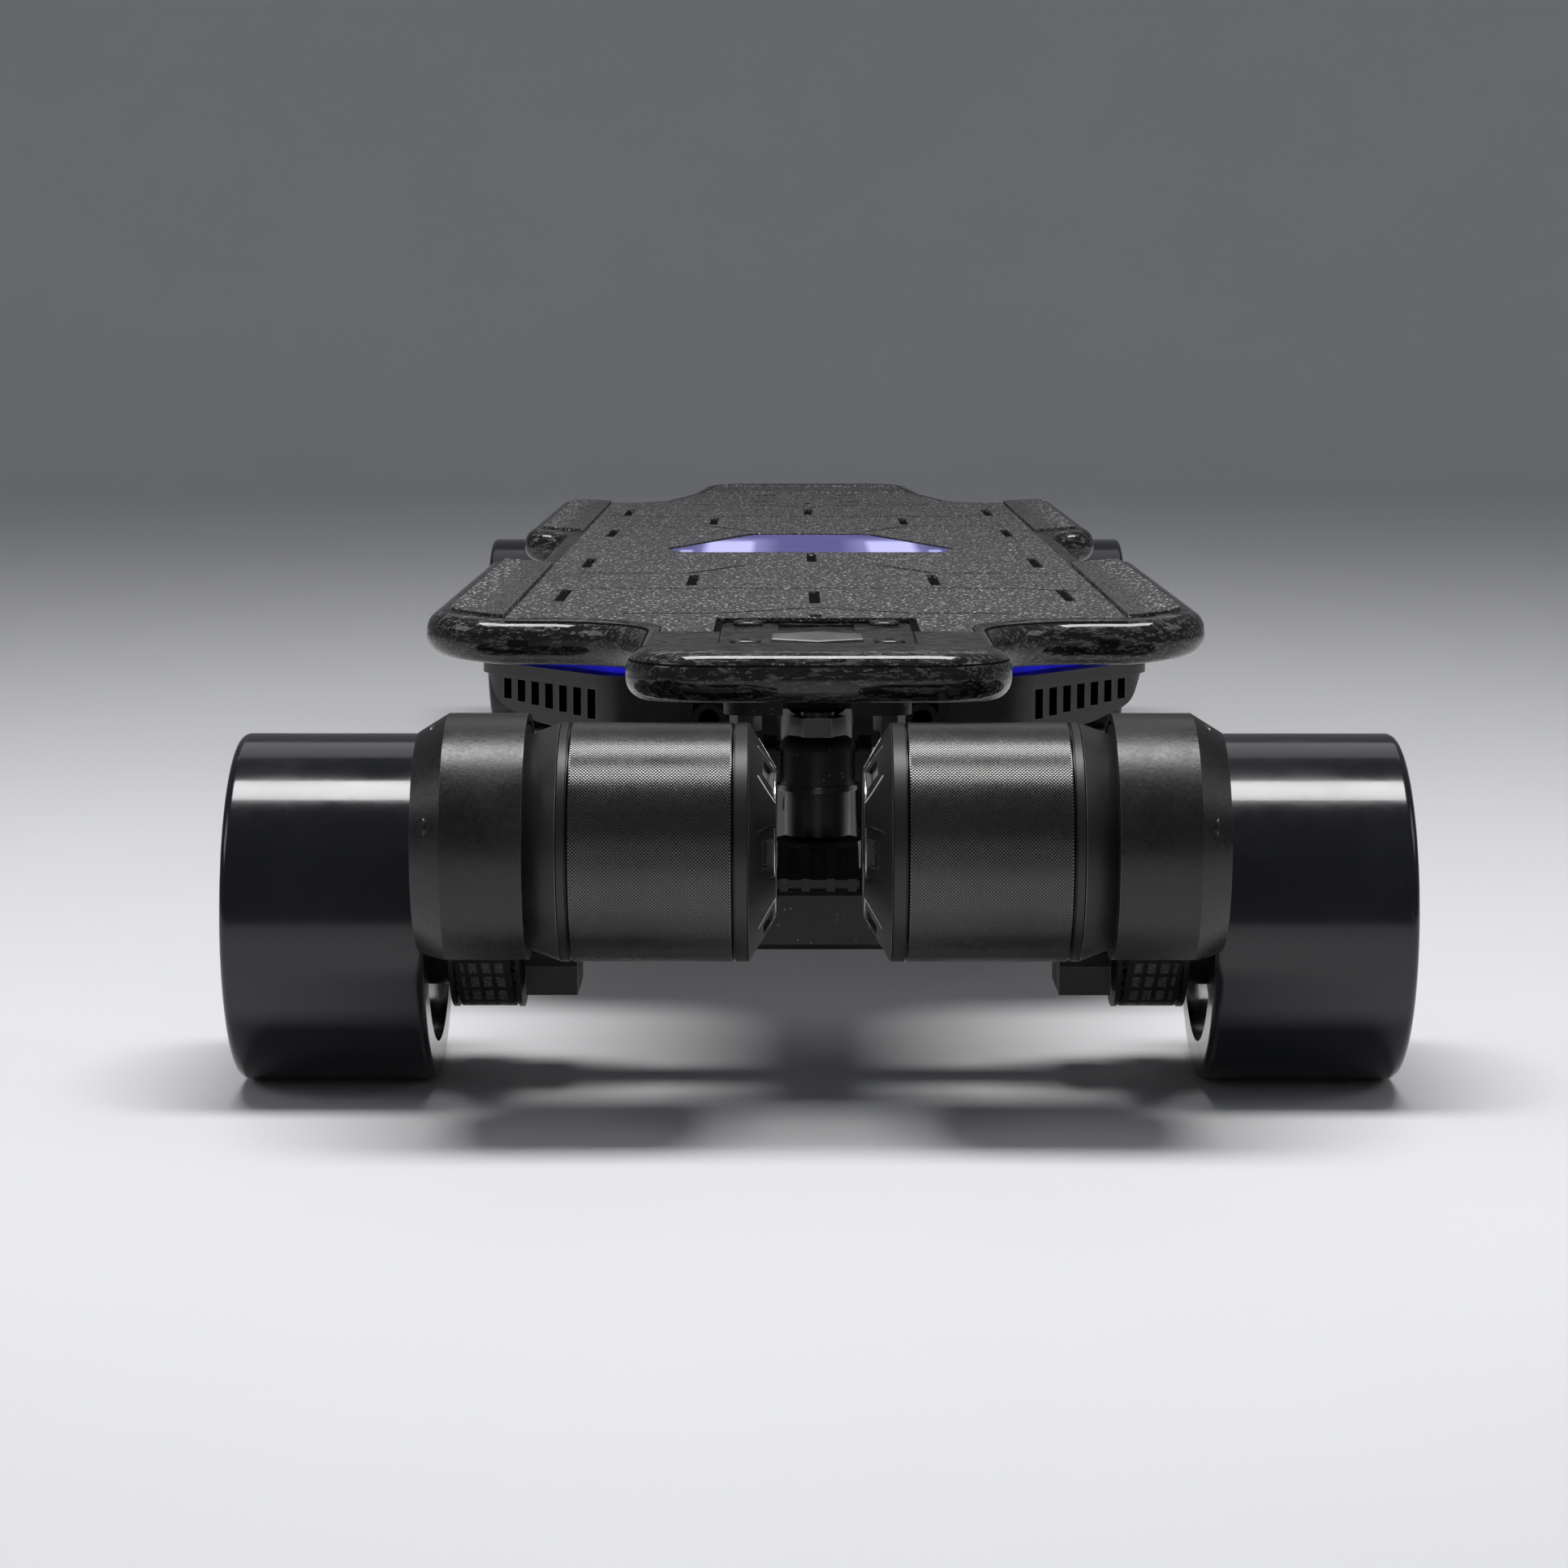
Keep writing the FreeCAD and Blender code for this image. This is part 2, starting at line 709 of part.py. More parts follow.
def motor_glands():
    """Round inlets for the motor leads in the rear wall, each with a latch block beside it."""
    face_y = mid_y - tray_half_length + lip_reach
    pieces = []
    for side in both_sides:
        x = side * gland_x
        body = rod(gland_radius, (x, face_y, gland_z), (0, -1, 0), 5.0)
        body = body.fuse(rod(gland_radius - 1.0, (x, face_y - 1, gland_z), (0, 1, 0), 8.0))
        body = body.cut(rod(gland_bore, (x, face_y - 6, gland_z), (0, 1, 0), 16.0))
        pieces.append(body.removeSplitter())
        pieces.append(box(x + side * 6.6 - 1.6, x + side * 6.6 + 1.6, face_y - 5.0, face_y,
                          gland_z - 5.5, gland_z + 5.5))
    add("motor_glands", group(pieces))


# Trucks: double-kingpin, modelled at the rear and mirrored for the front.
# Each stage turns about a line through its ring and its pivot nose.
base_ring = (0.0, mid_y - 352.0, 78.0)
base_tilt = 40.0
hanger_ring = (0.0, mid_y - 415.0, 59.5)
hanger_tilt = 30.0
ring_radius = 12.5
ring_half = 4.0
ring_bore = 6.4
kingpin_radius = 4.75
bushing_radius = 9.5
nose_radius = 5.0
cup_radius = 8.0
nose_reach_base = 22.0
nose_reach_hanger = 26.0
cheek_inner = 11.8
cheek_outer = 15.6


def steer_axis(tilt):
    """Unit vector of a rear steering axis: it climbs towards the tail."""
    angle = math.radians(tilt)
    return (0.0, -math.cos(angle), math.sin(angle))


def kingpin_axis():
    """Base kingpin, square to its steering axis."""
    angle = math.radians(base_tilt)
    return (0.0, math.sin(angle), math.cos(angle))


def along(point, axis, distance):
    return tuple(p + a * distance for p, a in zip(point, axis))


def bushing(point, axis, start, length):
    """Urethane bushing whose ring side is crowned, so that the ring can rock on it."""
    crown = 1.4
    base = along(point, axis, start)
    tip = cone(bushing_radius - 4.0, bushing_radius, base, axis, crown)
    body = rod(bushing_radius, along(base, axis, crown), axis, length - crown)
    bore = rod(kingpin_radius + 0.1, along(base, axis, -1), axis, length + 2)
    return tip.fuse(body).cut(bore).removeSplitter()


def reverse(axis):
    return tuple(-a for a in axis)


def side_plate(points, x0, x1):
    """Flat plate across X from (y, z) corners given relative to the deck's middle."""
    ring_of = [vec(x0, mid_y + y, z) for y, z in points]
    ring_of.append(ring_of[0])
    return Part.Face(Part.makePolygon(ring_of)).extrude(vec(x1 - x0, 0, 0))


plate_half_width = 27.0
plate_corner = 7.0
notch_half_width = 10.0
notch_y = 403.0
riser_overhang = 0.6


def plate_slab(grow, z0, z1):
    """Rounded plate under the deck at the rear mounting land."""
    wide = plate_half_width + grow
    near = mid_y - plate_inner_y + grow
    far = mid_y - plate_outer_y - grow
    corner = plate_corner + grow
    corners = [(wide, near, corner), (-wide, near, corner), (-wide, far, corner), (wide, far, corner)]
    return slab(corners, z0, z1)


def rear_baseplate():
    """Plate with a kingpin seat, a pivot cup boss and a notch over the link's kingpin."""
    pin = kingpin_axis()
    steer = steer_axis(base_tilt)
    plate = plate_slab(0, plate_bottom, riser_bottom)
    below = box(-40, 40, mid_y - plate_outer_y, mid_y - 322.5, 60, plate_bottom + 1)
    seat = rod(12.0, along(base_ring, pin, 15.5), pin, 30).common(below)
    nose_end = along(base_ring, steer, nose_reach_base - 6.5)
    boss = rod(10.8, nose_end, steer, 24).common(below)
    rib = side_plate([(-336, 101), (-344, 92), (-362, 94), (-374, 101)], -3, 3)
    plate = join([plate, seat, boss, rib])
    for x, y in bolt_places():
        plate = plate.cut(rod(bolt_radius + 0.2, (x, y, 90), (0, 0, 1), 30))
    notch = box(-notch_half_width, notch_half_width, mid_y - plate_outer_y - 1, mid_y - notch_y,
                plate_bottom - 1, riser_bottom + 1)
    plate = plate.cut(notch)
    plate = plate.cut(rod(kingpin_radius, base_ring, pin, 40))
    plate = plate.cut(rod(cup_radius, nose_end, steer, 13.6))
    plate = plate.cut(rod(bushing_radius + 0.3, base_ring, pin, 15.5))
    ring_room = rod(ring_radius + 1.6, along(base_ring, pin, -8), pin, 14.5)
    return plate.cut(ring_room)


def riser_pad():
    pad = plate_slab(riser_overhang, riser_bottom, deck_bottom)
    for x, y in bolt_places():
        pad = pad.cut(rod(bolt_radius + 0.2, (x, y, 90), (0, 0, 1), 30))
    return pad


def base_kingpin():
    """Kingpin bolt with its washer and nut under the link's ring."""
    pin = kingpin_axis()
    bolt = rod(kingpin_radius, along(base_ring, pin, -22), pin, 46)
    washer = ring(10.2, kingpin_radius, along(base_ring, pin, -15.6), pin, 1.6)
    nut = hexagon(14.0, along(base_ring, pin, -21.5), pin, 5.8)
    nut = nut.cut(rod(kingpin_radius, along(base_ring, pin, -23), pin, 10))
    return [bolt, washer, nut]


def base_bushings():
    pin = kingpin_axis()
    steer = steer_axis(base_tilt)
    upper = bushing(base_ring, pin, ring_half + 0.5, 10.9)
    lower = bushing(base_ring, reverse(pin), ring_half + 0.5, 9.4)
    cup = ring(cup_radius, nose_radius + 0.3, along(base_ring, steer, nose_reach_base - 6.5), steer, 13.5)
    return [upper, lower, cup]


seat_radius = 11.2
seat_rise = 20.3
seat_height = 14.0
seat_round = 4.4


def rear_link():
    """Arm between the two kingpins: ring and nose above, seat and pivot cup below."""
    pin = kingpin_axis()
    steer = steer_axis(base_tilt)
    hang = steer_axis(hanger_tilt)
    loop = rod(ring_radius, along(base_ring, pin, -ring_half), pin, 2 * ring_half)
    nose = rod(nose_radius, along(base_ring, steer, 10.6), steer, nose_reach_base + 5.6 - 10.6)
    x, y, z = hanger_ring
    seat = rod(seat_radius, (x, y, z + seat_rise), (0, 0, 1), seat_height)
    seat = seat.makeFillet(seat_round, edges_at(seat, z + seat_rise + seat_height))
    cup_centre = along(hanger_ring, hang, -nose_reach_hanger)
    cup_boss = rod(10.0, along(cup_centre, hang, -9), hang, 15.4)
    points = [(-347, 84), (-350, 68), (-366, 55), (-376, 42), (-386, 34), (-397, 36),
              (-401.5, 43), (-396, 58), (-399, 74), (-418, 80), (-418, 90), (-400, 92), (-376, 84)]
    cheeks = []
    for side in both_sides:
        cheek = side_plate(points, cheek_inner, cheek_outer)
        if side < 0:
            cheek = mirror_x(cheek)
        cheeks.append(cheek)
    tie = side_plate([(-376, 58), (-376, 46), (-386, 40), (-388, 56)], -cheek_outer, cheek_outer)
    bridge = box(-cheek_outer, cheek_outer, y + 4, y + 14, z + 21.5, z + 31)
    hub = box(-cheek_outer, cheek_outer, base_ring[1] - 6, base_ring[1] + 3,
              base_ring[2] - 3.5, base_ring[2] + 3.5)
    hub = turned(hub, base_ring, (1, 0, 0), -base_tilt)
    lugs = box(-cheek_outer, cheek_outer, y - 3.5, y + 3.5, z + 21, z + 30)
    link = join([loop, nose, seat, cup_boss, tie, bridge, hub, lugs] + cheeks)
    link = link.cut(rod(ring_bore, along(base_ring, pin, -12), pin, 24))
    link = link.cut(rod(kingpin_radius, (x, y, z + 10), (0, 0, 1), 40))
    link = link.cut(rod(cup_radius, along(cup_centre, hang, -6.5), hang, 20))
    return link


def link_kingpin():
    x, y, z = hanger_ring
    bolt = rod(kingpin_radius, (x, y, z - 18.5), (0, 0, 1), 18.5 + 41)
    head = hexagon(14.0, (x, y, z - 21.5), (0, 0, 1), 6)
    lower_washer = ring(9.6, kingpin_radius, (x, y, z - 15.4), (0, 0, 1), 1.4)
    cup = ring(11.6, kingpin_radius, (x, y, z + 18.8), (0, 0, 1), 1.5)
    nut = hexagon(14.0, (x, y, z + 34.3), (0, 0, 1), 5.4)
    nut = nut.cut(rod(kingpin_radius, (x, y, z + 30), (0, 0, 1), 14))
    return [join([bolt, head]), lower_washer, cup, nut]


def link_bushings():
    hang = steer_axis(hanger_tilt)
    upper = bushing(hanger_ring, (0, 0, 1), ring_half + 0.3, 14.4)
    lower = rod(8.0, along(hanger_ring, (0, 0, -1), 14.0), (0, 0, 1), 14.0 - ring_half - 1.0)
    tip = cone(8.0, 5.4, along(hanger_ring, (0, 0, -1), ring_half + 1.0), (0, 0, 1), 0.7)
    lower = lower.fuse(tip).cut(rod(kingpin_radius + 0.1, (0, hanger_ring[1], 30), (0, 0, 1), 50))
    cup_centre = along(hanger_ring, hang, -nose_reach_hanger)
    cup = ring(cup_radius, nose_radius + 0.3, along(cup_centre, hang, -6.5), hang, 12.9)
    return [upper, lower.removeSplitter(), cup]


bar_half_length = 66.0
bar_rear = mid_y - 452.0
bar_front = mid_y - 432.0
bar_bottom = 37.5
bar_top = 54.5
axle_radius = 5.0
sleeve_radius = 11.0
shoulder_radius = 7.0
shoulder_x = 104.6
sleeve_x = 86.0


def rear_hanger():
    x, y, z = hanger_ring
    hang = steer_axis(hanger_tilt)
    bar = box(-bar_half_length, bar_half_length, bar_rear, bar_front, bar_bottom, bar_top)
    long_edges = [e for e in bar.Edges if e.BoundBox.XLength > bar_half_length]
    bar = bar.makeChamfer(1.6, long_edges)
    loop = rod(ring_radius, (x, y, z - ring_half), (0, 0, 1), 2 * ring_half)
    neck = side_plate([(-450, 50), (-433, 50), (-427, 55.5), (-415, 55.5),
                       (-415, 63.5), (-432, 63.5), (-450, 57)], -11.5, 11.5)
    ribs = []
    for rib_x in (-9.5, -3.5, 3.5, 9.5):
        rib = side_plate([(-451, 53), (-449, 53), (-430, 64.3), (-434, 64.3), (-451, 57.5)],
                         rib_x - 1.2, rib_x + 1.2)
        ribs.append(rib)
    arm = side_plate([(-412, 57), (-405, 57), (-403.5, 51), (-401.5, 49), (-397, 55), (-399, 61),
                      (-404, 63.5), (-412, 63.5)], -4, 4)
    cup_start = along(hanger_ring, hang, -nose_reach_hanger - 7.5)
    arm = arm.cut(rod(cup_radius + 1.0, cup_start, hang, 15.5))
    nose = rod(nose_radius, along(hanger_ring, hang, -nose_reach_hanger - 5.6), hang, 17.0)
    ends = []
    for side in both_sides:
        start = side * (bar_half_length - 10)
        axis = (side, 0, 0)
        ends.append(rod(sleeve_radius, (start, rear_axle_y, axle_z), axis, sleeve_x - bar_half_length + 10))
        ends.append(rod(shoulder_radius, (start, rear_axle_y, axle_z), axis,
                        shoulder_x - bar_half_length + 10))
    hanger = join([bar, loop, neck, arm, nose] + ribs + ends)
    hanger = hanger.cut(rod(ring_bore, (x, y, z - 10), (0, 0, 1), 24))
    return hanger.cut(rod(axle_radius, (-200, rear_axle_y, axle_z), (1, 0, 0), 400))


axle_end_x = 157.0
bearing_outer_x = 140.0
bearing_inner_x = 108.0
bearing_width = 7.0
bearing_radius = 11.0
race_bore = axle_radius + 0.06


def rear_axle():
    """Axle with its nuts and the speed washers each side of every wheel's bearings."""
    pieces = [rod(axle_radius, (-axle_end_x, rear_axle_y, axle_z), (1, 0, 0), 2 * axle_end_x)]
    for side in both_sides:
        axis = (side, 0, 0)
        outer = bearing_outer_x + bearing_width
        pieces.append(ring(6.8, axle_radius, (side * shoulder_x, rear_axle_y, axle_z), axis,
                           bearing_inner_x - shoulder_x - 0.3))
        pieces.append(ring(6.8, axle_radius, (side * (outer + 0.3), rear_axle_y, axle_z), axis, 1.2))
        nut = hexagon(15.0, (side * (outer + 1.5), rear_axle_y, axle_z), axis, 7.5)
        pieces.append(nut.cut(rod(axle_radius, (side * outer, rear_axle_y, axle_z), axis, 20)))
    return pieces


# Wheels
tyre_bore = 30.0
tyre_recess_radius = 38.0
tyre_recess = 5.0
shoulder_round = 2.5
spoke_count = 6


def tyre(side, y):
    axis = (side, 0, 0)
    width = wheel_outer_x - wheel_inner_x
    body = rod(wheel_radius, (side * wheel_inner_x, y, axle_z), axis, width)
    rims = [e for e in body.Edges if e.Curve.TypeId == "Part::GeomCircle"]
    body = body.makeFillet(shoulder_round, rims)
    for start in (wheel_inner_x - 1, wheel_outer_x - tyre_recess):
        body = body.cut(rod(tyre_recess_radius, (side * start, y, axle_z), axis, tyre_recess + 1))
    return body.cut(rod(tyre_bore, (side * (wheel_inner_x - 2), y, axle_z), axis, width + 4))


def core(side, y):
    """Wheel core: rim, hub with two bearing seats, and six spokes either side of a web."""
    axis = (side, 0, 0)
    start = wheel_inner_x + tyre_recess
    end = wheel_outer_x - tyre_recess
    middle = (start + end) / 2.0
    rim = ring(tyre_bore, tyre_bore - 4.0, (side * start, y, axle_z), axis, end - start)
    hub_end = bearing_outer_x + bearing_width
    hub = rod(14.5, (side * bearing_inner_x, y, axle_z), axis, hub_end - bearing_inner_x)
    web = rod(tyre_bore - 3.0, (side * (middle - 3), y, axle_z), axis, 6)
    spokes = []
    for k in range(spoke_count):
        blade = box(start + 4, hub_end - 1, y - 2.5, y + 2.5, axle_z + 12, axle_z + tyre_bore - 2)
        if side < 0:
            blade = mirror_x(blade)
        spokes.append(turned(blade, (0, y, axle_z), (1, 0, 0), 60 * k))
    wheel = join([rim, hub, web] + spokes)
    wheel = wheel.cut(rod(bearing_radius, (side * (bearing_inner_x - 1), y, axle_z), axis, bearing_width + 1))
    wheel = wheel.cut(rod(bearing_radius, (side * bearing_outer_x, y, axle_z), axis, bearing_width + 1))
    return wheel.cut(rod(7.4, (side * bearing_inner_x, y, axle_z), axis, 60))


def bearings(side, y):
    """Two ball bearings and the spacer tube between their inner rings."""
    axis = (side, 0, 0)
    pieces = []
    for start in (bearing_inner_x, bearing_outer_x):
        race = ring(bearing_radius, race_bore, (side * start, y, axle_z), axis, bearing_width)
        for groove_start in (start - 0.1, start + bearing_width - 0.6):
            race = race.cut(ring(9.6, 7.0, (side * groove_start, y, axle_z), axis, 0.7))
        pieces.append(race)
    gap_start = bearing_inner_x + bearing_width
    pieces.append(ring(7.0, race_bore, (side * gap_start, y, axle_z), axis, bearing_outer_x - gap_start))
    return group(pieces)


# Drive: one motor, belt and cover on each side
pulley_inner_x = 83.6
pulley_outer_x = 100.6
belt_inner_x = 84.6
belt_outer_x = 99.6
pitch_to_tip = 0.57
belt_back = 1.0
belt_clearance = 0.3
belt_tooth_radius = 1.5
groove_radius = 1.56
flange_rise = 1.2
hub_radius = 22.0
lightening_holes = 5
lightening_circle = 18.5
lightening_radius = 3.2


def pitch_radius(teeth):
    return teeth * belt_pitch / (2.0 * math.pi)


def toothed_disc(teeth, x0, x1, centre):
    """Round-tooth pulley body about a centre given as (y, z)."""
    tip = pitch_radius(teeth) - pitch_to_tip
    disc = rod(tip, (x0, centre[0], centre[1]), (1, 0, 0), x1 - x0)
    cutters = []
    for k in range(teeth):
        angle = 2.0 * math.pi * k / teeth
        y = centre[0] + tip * math.cos(angle)
        z = centre[1] + tip * math.sin(angle)
        cutters.append(rod(groove_radius, (x0 - 1, y, z), (1, 0, 0), x1 - x0 + 2))
    return disc.cut(Part.makeCompound(cutters))


def on_side(shape, side):
    return shape if side > 0 else mirror_x(shape)


def wheel_pulley(side):
    centre = (rear_axle_y, axle_z)
    tip = pitch_radius(wheel_pulley_teeth)
    disc = toothed_disc(wheel_pulley_teeth, pulley_inner_x, pulley_outer_x, centre)
    flange = rod(tip + flange_rise, (pulley_outer_x, centre[0], centre[1]), (1, 0, 0), 1.4)
    inner_flange = rod(tip + flange_rise, (pulley_inner_x - 1.2, centre[0], centre[1]), (1, 0, 0), 1.2)
    drive = rod(hub_radius, (pulley_outer_x + 1.4, centre[0], centre[1]), (1, 0, 0), 9.4)
    pulley = join([disc, flange, inner_flange, drive])
    bore = sleeve_radius + 0.6
    pulley = pulley.cut(rod(bore, (60, centre[0], centre[1]), (1, 0, 0), 46))
    pulley = pulley.cut(rod(15.2, (106, centre[0], centre[1]), (1, 0, 0), 20))
    for k in range(lightening_holes):
        hole = rod(lightening_radius, (60, centre[0] + lightening_circle, centre[1]), (1, 0, 0), 60)
        pulley = pulley.cut(turned(hole, (0, centre[0], centre[1]), (1, 0, 0), 360 / lightening_holes * k))
    return on_side(pulley, side)


def belt_loop(radius_motor, radius_wheel):
    """Flat face inside a loop that wraps both pulleys at the given radii, in the YZ plane."""
    dy = rear_axle_y - motor_y
    dz = axle_z - motor_z
    span = math.hypot(dy, dz)
    heading = math.atan2(dz, dy)
    lean = math.acos((radius_motor - radius_wheel) / span)
    corners = []
    for sign in (1, -1):
        angle = heading + sign * lean
        reach = math.cos(angle)
        rise = math.sin(angle)
        at_motor = vec(0, motor_y + radius_motor * reach, motor_z + radius_motor * rise)
        at_wheel = vec(0, rear_axle_y + radius_wheel * reach, axle_z + radius_wheel * rise)
        corners.append((at_motor, at_wheel))
    back = vec(0, motor_y - radius_motor * math.cos(heading), motor_z - radius_motor * math.sin(heading))
    front = vec(0, rear_axle_y + radius_wheel * math.cos(heading), axle_z + radius_wheel * math.sin(heading))
    (motor_top, wheel_top), (motor_low, wheel_low) = corners
    edges = [Part.LineSegment(motor_top, wheel_top).toShape(),
             Part.Arc(wheel_top, front, wheel_low).toShape(),
             Part.LineSegment(wheel_low, motor_low).toShape(),
             Part.Arc(motor_low, back, motor_top).toShape()]
    return Part.Face(Part.Wire(edges)), corners


def belt(side):
    motor_tip = pitch_radius(motor_pulley_teeth) - pitch_to_tip + belt_clearance
    wheel_tip = pitch_radius(wheel_pulley_teeth) - pitch_to_tip + belt_clearance
    width = belt_outer_x - belt_inner_x
    outer, _ = belt_loop(pitch_radius(motor_pulley_teeth) + belt_back,
                         pitch_radius(wheel_pulley_teeth) + belt_back)
    inner, spans = belt_loop(motor_tip, wheel_tip)
    loop = outer.extrude(vec(width, 0, 0)).cut(inner.extrude(vec(width, 0, 0)))
    middle = vec(0, (motor_y + rear_axle_y) / 2.0, (motor_z + axle_z) / 2.0)
    teeth = []
    for near, far in spans:
        run = far - near
        length = run.Length
        run.normalize()
        count = int((length - 22) / belt_pitch)
        inward = vec(1, 0, 0).cross(run)
        if inward.dot(middle - near) < 0:
            inward = inward * -1.0
        for k in range(count):
            root = near + run * (11.0 + belt_pitch * k) + inward * belt_clearance
            teeth.append(rod(belt_tooth_radius, (0, root.y, root.z), (1, 0, 0), width))
    loop = join([loop] + teeth)
    loop.translate(vec(belt_inner_x, 0, 0))
    return on_side(loop, side)


cover_inner_x = 76.4
cover_outer_x = 105.4
cover_wall = 2.0
cover_bottom_z = 47.5
cover_taper = 8.0
cover_taper_drop = 5.0
cover_mouth_y = 12.0
cover_mouth_z = 21.0
cover_boss_circle = 28.5
cover_boss_radius = 3.6
cover_boss_angles = (35, 100, 165)
cover_boss_gap = 0.2
cover_boss_setback = 3.8
cover_boss_bore = 1.5
cover_boss_depth = 18.0
cover_end_wall = 2.6
cover_hollow_taper = 7.0
cover_hollow_drop = 4.6


def belt_cover(side):
    """Round cap over the motor pulley, open towards the wheel pulley."""
    centre = (motor_y, motor_z)
    length = cover_outer_x - cover_inner_x
    shell = rod(cover_radius, (cover_inner_x, centre[0], centre[1]), (1, 0, 0),
                length - cover_taper)
    nose = cone(cover_radius, cover_radius - cover_taper_drop,
                (cover_outer_x - cover_taper, centre[0], centre[1]), (1, 0, 0), cover_taper)
    shell = shell.fuse(nose)
    hollow = rod(cover_radius - cover_wall, (cover_inner_x - 1, centre[0], centre[1]), (1, 0, 0),
                 length - cover_hollow_taper - cover_end_wall + 1)
    taper = cone(cover_radius - cover_wall, cover_radius - cover_wall - cover_hollow_drop,
                 (cover_outer_x - cover_hollow_taper - cover_end_wall, centre[0], centre[1]), (1, 0, 0),
                 cover_hollow_taper)
    shell = shell.cut(hollow.fuse(taper))
    shell = shell.cut(box(50, 120, motor_y - 50, motor_y + 50, 0, cover_bottom_z))
    shell = shell.cut(box(50, 120, motor_y + cover_mouth_y, motor_y + 60, 0, motor_z + cover_mouth_z))
    boss_start = mount_outer_x + cover_boss_gap
    boss_length = cover_outer_x - boss_start - cover_boss_setback
    for angle in cover_boss_angles:
        y = centre[0] + cover_boss_circle * math.cos(math.radians(angle))
        z = centre[1] + cover_boss_circle * math.sin(math.radians(angle))
        boss = rod(cover_boss_radius, (boss_start, y, z), (1, 0, 0), boss_length)
        hole = rod(cover_boss_bore, (mount_inner_x, y, z), (1, 0, 0), cover_boss_depth)
        shell = shell.fuse(boss).cut(hole)
    shell = shell.common(rod(cover_radius, (50, centre[0], centre[1]), (1, 0, 0), 80))
    return on_side(shell.removeSplitter(), side)


mount_inner_x = 76.6
mount_outer_x = 81.4
clamp_inner_x = 67.0
clamp_radius = 20.5
mount_radius = 31.0
arm_half = 17.0
foot_half = 14.0
foot_drop = 23.0
clamp_gap = 0.8
motor_screw_circle = 12.5
motor_screw_radius = 2.1
motor_screw_head = 3.9


def motor_mount(side):
    """Plate that carries the motor, with a split clamp round the hanger's end."""
    plate = rod(mount_radius, (mount_inner_x, motor_y, motor_z), (1, 0, 0), mount_outer_x - mount_inner_x)
    dy = rear_axle_y - motor_y
    dz = axle_z - motor_z
    angle = math.degrees(math.atan2(dz, dy))
    reach = math.hypot(dy, dz)
    arm = box(mount_inner_x, mount_outer_x, motor_y, motor_y + reach, motor_z - arm_half, motor_z + arm_half)
    arm = turned(arm, (0, motor_y, motor_z), (1, 0, 0), angle)
    clamp = rod(clamp_radius, (clamp_inner_x, rear_axle_y, axle_z), (1, 0, 0), mount_outer_x - clamp_inner_x)
    foot = box(clamp_inner_x, mount_outer_x, rear_axle_y - foot_half, rear_axle_y + foot_half,
               axle_z - foot_drop, axle_z)
    mount = join([plate, arm, clamp, foot])
    mount = mount.cut(rod(sleeve_radius, (60, rear_axle_y, axle_z), (1, 0, 0), 40))
    mount = mount.cut(box(60, 100, rear_axle_y - clamp_gap, rear_axle_y + clamp_gap, 0, axle_z - 8))
    mount = mount.cut(rod(8.4, (60, motor_y, motor_z), (1, 0, 0), 40))
    bar = box(0, clamp_inner_x + 0.5, bar_rear - 1, bar_front + 1, bar_bottom - 1, bar_top + 1)
    mount = mount.cut(bar)
    for k in range(4):
        y = motor_y + motor_screw_circle * math.cos(math.radians(45 + 90 * k))
        z = motor_z + motor_screw_circle * math.sin(math.radians(45 + 90 * k))
        mount = mount.cut(rod(motor_screw_radius, (60, y, z), (1, 0, 0), 40))
        mount = mount.cut(rod(motor_screw_head, (mount_outer_x - 2.6, y, z), (1, 0, 0), 10))
    return on_side(mount, side)


sleeve_inner_x = 18.5
sleeve_outer_x = 68.0
band_inner_x = 22.3
band_outer_x = 65.4
cap_face_x = 11.5
cap_face_radius = 19.2
can_wall = 1.5
can_groove_depth = 0.45
can_groove_half = 0.25
cap_rim_radius = 28.2
shaft_radius = 4.0
cap_socket_flats = 27.0
cap_socket_depth = 1.4
cap_slot_count = 6
cap_slot_half = 3.6
cap_slot_low = 20.4
cap_slot_high = 25.0
stem_radius = 8.0
bell_radius = 29.2
bell_wall = 1.8
stator_radius = 26.4
stator_slots = 12


def motor_sleeve(side):
    """Outer can, with a fine groove each side of the knurled band."""
    can = ring(motor_radius, motor_radius - can_wall, (sleeve_inner_x, motor_y, motor_z), (1, 0, 0),
               sleeve_outer_x - sleeve_inner_x)
    for x in (band_inner_x, band_outer_x):
        start = (x - can_groove_half, motor_y, motor_z)
        groove = ring(motor_radius + 1, motor_radius - can_groove_depth, start, (1, 0, 0), 2 * can_groove_half)
        can = can.cut(groove)
    return on_side(can, side)


